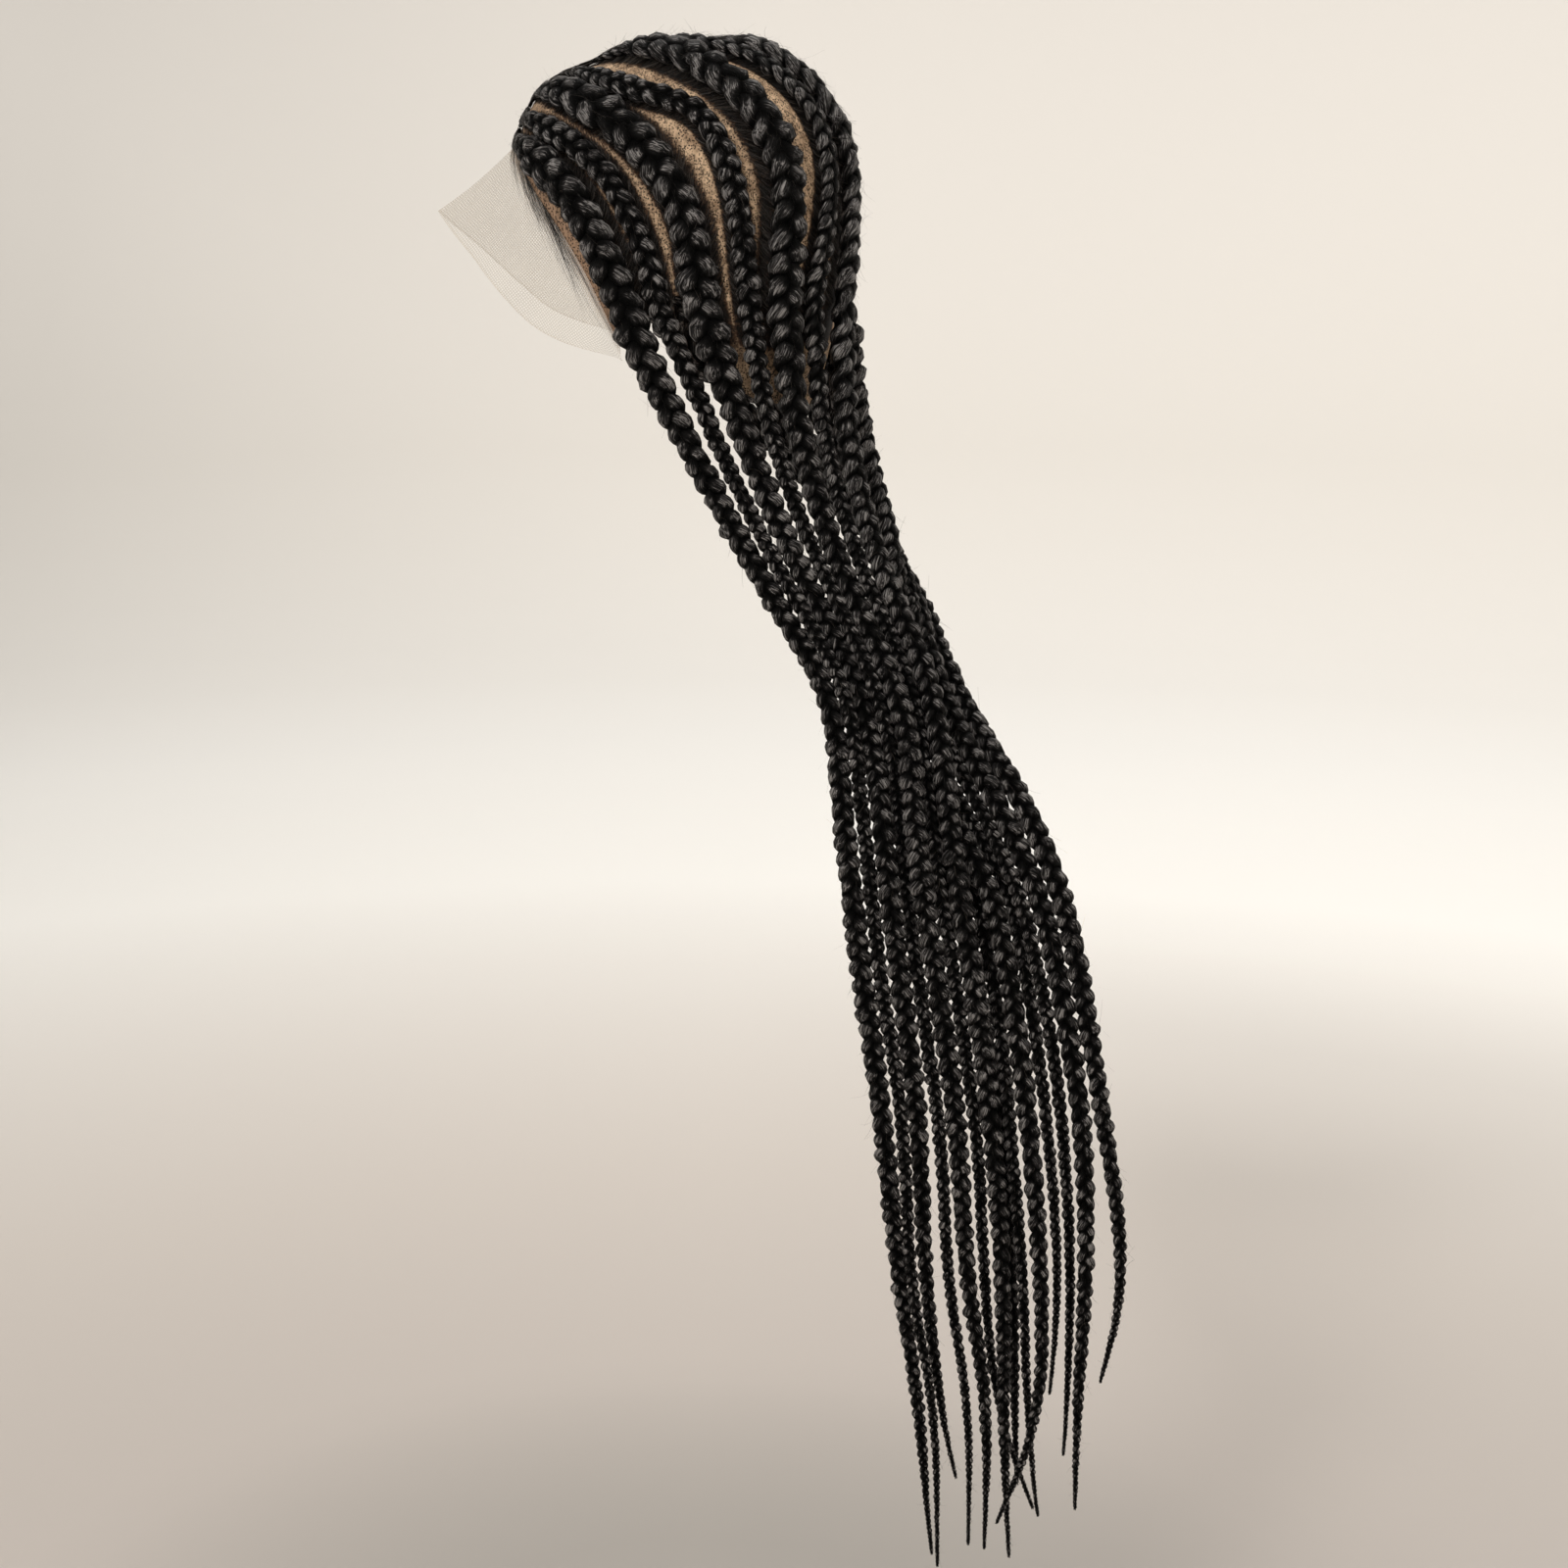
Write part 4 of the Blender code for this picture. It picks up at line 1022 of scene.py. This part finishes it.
def parting_hairs(name, route, before, after, rng):
    """Hairs that lead from the middle parting into the start of one plait, from halfway to its neighbours."""
    hand = 1.0 if name.startswith("left") else -1.0
    count = ROOT_HAIRS
    end_at = np.sort(rng.uniform(*ROOT_ENDS, count))
    centre, sideways, _, width, height = read_route(route, end_at)
    share_back = rng.random(count)
    root = np.zeros((count, 3))
    root[:, 1:] = before[1:] + (after[1:] - before[1:]) * share_back[:, None]
    root[:, 0] = hand * rng.uniform(*ROOT_ACROSS, count)
    end = centre + sideways * (width * rng.uniform(*ROOT_INTO, count))[:, None]
    steps = np.linspace(0.0, 1.0, 7)
    share = steps[None, :, None]
    line = root[:, None] * (1 - share) + end[:, None] * share
    rise = (height * rng.uniform(*ROOT_RISE, count))[:, None]
    lump = np.abs(np.sin(math.pi * (root[:, 1] / LUMP_LENGTH + 0.25 * hand)))[:, None]
    start = rng.uniform(*ROOT_LIFT, (count, 1)) + LUMP_HEIGHT * lump
    return on_cap(line, start + smooth_step(steps)[None] * (rise - start))


def baby_hairs(side, rng):
    """Long fine hairs in loose wisps that lie on the lace beside the hairline at one temple."""
    lines = []
    steps = np.linspace(0.0, 1.0, 14)
    for _ in range(WISPS):
        first = rng.uniform(*WISP_START)
        sweep = rng.uniform(*WISP_SWEEP)
        push = rng.uniform(*WISP_OUT)
        curl = rng.uniform(*WISP_CURL)
        for _ in range(rng.integers(*WISP_HAIRS, endpoint=True)):
            angle = side * (first + rng.normal(0, WISP_SPREAD) + sweep * rng.uniform(0.75, 1.15) * steps)
            edge = edge_points(angle)
            sewn, free = lace_ends(np.clip(angle / LACE_SPAN, -1.0, 1.0))
            ahead = unit(free - sewn)
            normal = cap_normal(edge)
            off_lace = unit(normal - ahead * (normal * ahead).sum(axis=1, keepdims=True))
            out = push * rng.uniform(0.7, 1.25) * np.sin(np.clip(steps * 1.1, 0, 1) * math.pi / 1.7) - 0.0006
            wave = np.sin(steps * rng.uniform(5, 9) + rng.uniform(0, 6))
            out += curl * steps**3 + WISP_WAVE * wave * steps
            lift = WISP_LIFT + rng.uniform(0.0, 0.0008) + 0.0015 * steps * rng.random()
            lines.append(edge + ahead * out[:, None] + off_lace * lift[:, None])
    return np.array(lines)


def stray_hairs(route, rng):
    """Short hairs that stand away from one plait."""
    count = int(route.at[-1] / STRAY_SPACING)
    at = np.sort(rng.uniform(0.01, route.at[-1] - 0.01, count))
    centre, sideways, outward, width, height = read_route(route, at)
    angle = rng.uniform(0, 2 * math.pi, count)
    on_scalp = at < route.on_cap
    angle = np.where(on_scalp, rng.uniform(-0.1, math.pi + 0.1, count), angle)
    out = sideways * np.cos(angle)[:, None] + outward * np.sin(angle)[:, None]
    reach = np.sqrt((np.cos(angle) * width / 2) ** 2 + (np.sin(angle) * height / 2) ** 2)
    along = unit(np.gradient(centre, at, axis=0))
    length = rng.gamma(2.5, STRAY_USUAL, count).clip(*STRAY_LENGTH)
    length *= np.interp(width, [0.003, 0.012], [0.55, 1.0])
    heading = along * rng.choice([-0.7, 1.0, 1.0], count)[:, None]
    heading = heading + out * rng.uniform(*STRAY_LEAN, count)[:, None]
    heading = unit(heading + rng.normal(size=(count, 3)) * STRAY_SPREAD)
    bend = rng.normal(size=(count, 3)) * STRAY_BEND
    steps = np.linspace(0.0, 1.0, 4)
    start = centre + out * (reach * STRAY_START)[:, None]
    line = start[:, None] + heading[:, None] * (steps[None] * length[:, None])[..., None]
    return line + bend[:, None] * (steps[None] ** 2 * length[:, None])[..., None]


def make_single_hairs(routes, rng):
    """Hair at the partings, wisps at the hairline and stray hair along every plait."""
    material = stray_material()
    feed = np.concatenate([feed_hairs(name, route, rng) for name, route in routes.items()])
    make_hairs("hair_at_partings", feed, rng.uniform(*FEED_WIDTH, len(feed)), material, rng)
    middle = []
    for side in ("left", "right"):
        starts = [routes[f"{side}_{row}"].centre[0] for row in range(1, 8)]
        ends = [starts[0] * 1.5 - starts[1] * 0.5]
        ends += [(a + b) / 2 for a, b in zip(starts, starts[1:])]
        ends += [starts[-1] * 1.5 - starts[-2] * 0.5]
        for row in range(1, 8):
            name = f"{side}_{row}"
            middle.append(parting_hairs(name, routes[name], ends[row - 1], ends[row], rng))
    middle = np.concatenate(middle)
    make_hairs("hair_at_middle", middle, rng.uniform(*ROOT_WIDTH, len(middle)), material, rng)
    baby = np.concatenate([baby_hairs(1.0, rng), baby_hairs(-1.0, rng)])
    make_hairs("baby_hair", baby, rng.uniform(*WISP_WIDTH, len(baby)), material, rng)
    for side in ("left", "right"):
        own = [route for name, route in routes.items() if name.startswith(side)]
        stray = np.concatenate([stray_hairs(route, rng) for route in own])
        widths = rng.uniform(*STRAY_WIDTH, len(stray))
        make_hairs(f"stray_hair_{side}", stray, widths, material, rng)


# Camera, lights and stage.


def make_stage():
    """A wide pale floor that sweeps up all round."""
    profile = [(1.2, 0.0), (2.4, 0.0), (FLOOR_RADIUS, 0.0)]
    bend = np.radians(np.linspace(0, 90, 12)[1:])
    profile += [(FLOOR_RADIUS + BEND_RADIUS * math.sin(b), BEND_RADIUS * (1 - math.cos(b))) for b in bend]
    profile += [(WALL_RADIUS, 3.0), (WALL_RADIUS, 5.0)]
    around = STAGE_SIDES
    turn = np.linspace(0, 2 * math.pi, around, endpoint=False)
    rings = [
        np.stack([r * np.cos(turn), r * np.sin(turn), np.full(around, FLOOR_HEIGHT + h)], axis=-1)
        for r, h in profile
    ]
    points = np.vstack([np.array([[0.0, 0.0, FLOOR_HEIGHT]])] + rings)
    faces = [(0, 1 + k, 1 + (k + 1) % around) for k in range(around)]
    for start in range(1, 1 + around * (len(rings) - 1), around):
        for k in range(around):
            after = (k + 1) % around
            faces.append((start + k, start + around + k, start + around + after, start + after))
    mesh = bpy.data.meshes.new("studio_floor")
    mesh.from_pydata([tuple(map(float, p)) for p in points], [], faces)
    mesh.shade_smooth()
    mesh.materials.append(stage_material())
    floor = bpy.data.objects.new("studio_floor", mesh)
    bpy.context.scene.collection.objects.link(floor)


def make_light(light):
    """A soft distant light that shines from its place towards the wig."""
    data = bpy.data.lights.new(light.name, "SUN")
    data.angle = math.radians(light.softness)
    data.energy = light.strength
    data.color = light.colour
    lamp = bpy.data.objects.new(light.name, data)
    bpy.context.scene.collection.objects.link(lamp)
    lamp.location = light.place
    lamp.rotation_mode = "QUATERNION"
    lamp.rotation_quaternion = (-Vector(light.place)).to_track_quat("-Z", "Y")


def make_camera():
    """The photograph's viewpoint: the wearer's left side, a little from above."""
    data = bpy.data.cameras.new("photo_camera")
    data.lens = CAMERA_LENS
    data.sensor_width = CAMERA_SENSOR
    camera = bpy.data.objects.new("photo_camera", data)
    bpy.context.scene.collection.objects.link(camera)
    camera.location = CAMERA_PLACE
    camera.rotation_euler = (math.radians(CAMERA_TILT), 0.0, math.radians(CAMERA_TURN))
    bpy.context.scene.camera = camera


def make_world():
    """Soft warm light from all round."""
    world = bpy.data.worlds.new("studio_light")
    world.use_nodes = True
    background = world.node_tree.nodes["Background"]
    background.inputs["Color"].default_value = WORLD_COLOUR
    background.inputs["Strength"].default_value = WORLD_STRENGTH
    bpy.context.scene.world = world
    bpy.context.scene.view_settings.view_transform = "Standard"


def main():
    make_camera()
    make_world()
    make_stage()
    for light in LIGHTS:
        make_light(light)
    rng = np.random.default_rng(SEED)
    routes = {name: plait_route(name) for name in PLAIT_NAMES}
    hair = hair_material()
    for name, route in routes.items():
        make_plait(name, route, hair, rng)
    make_scalp(routes)
    make_lace()
    make_single_hairs(routes, rng)


main()
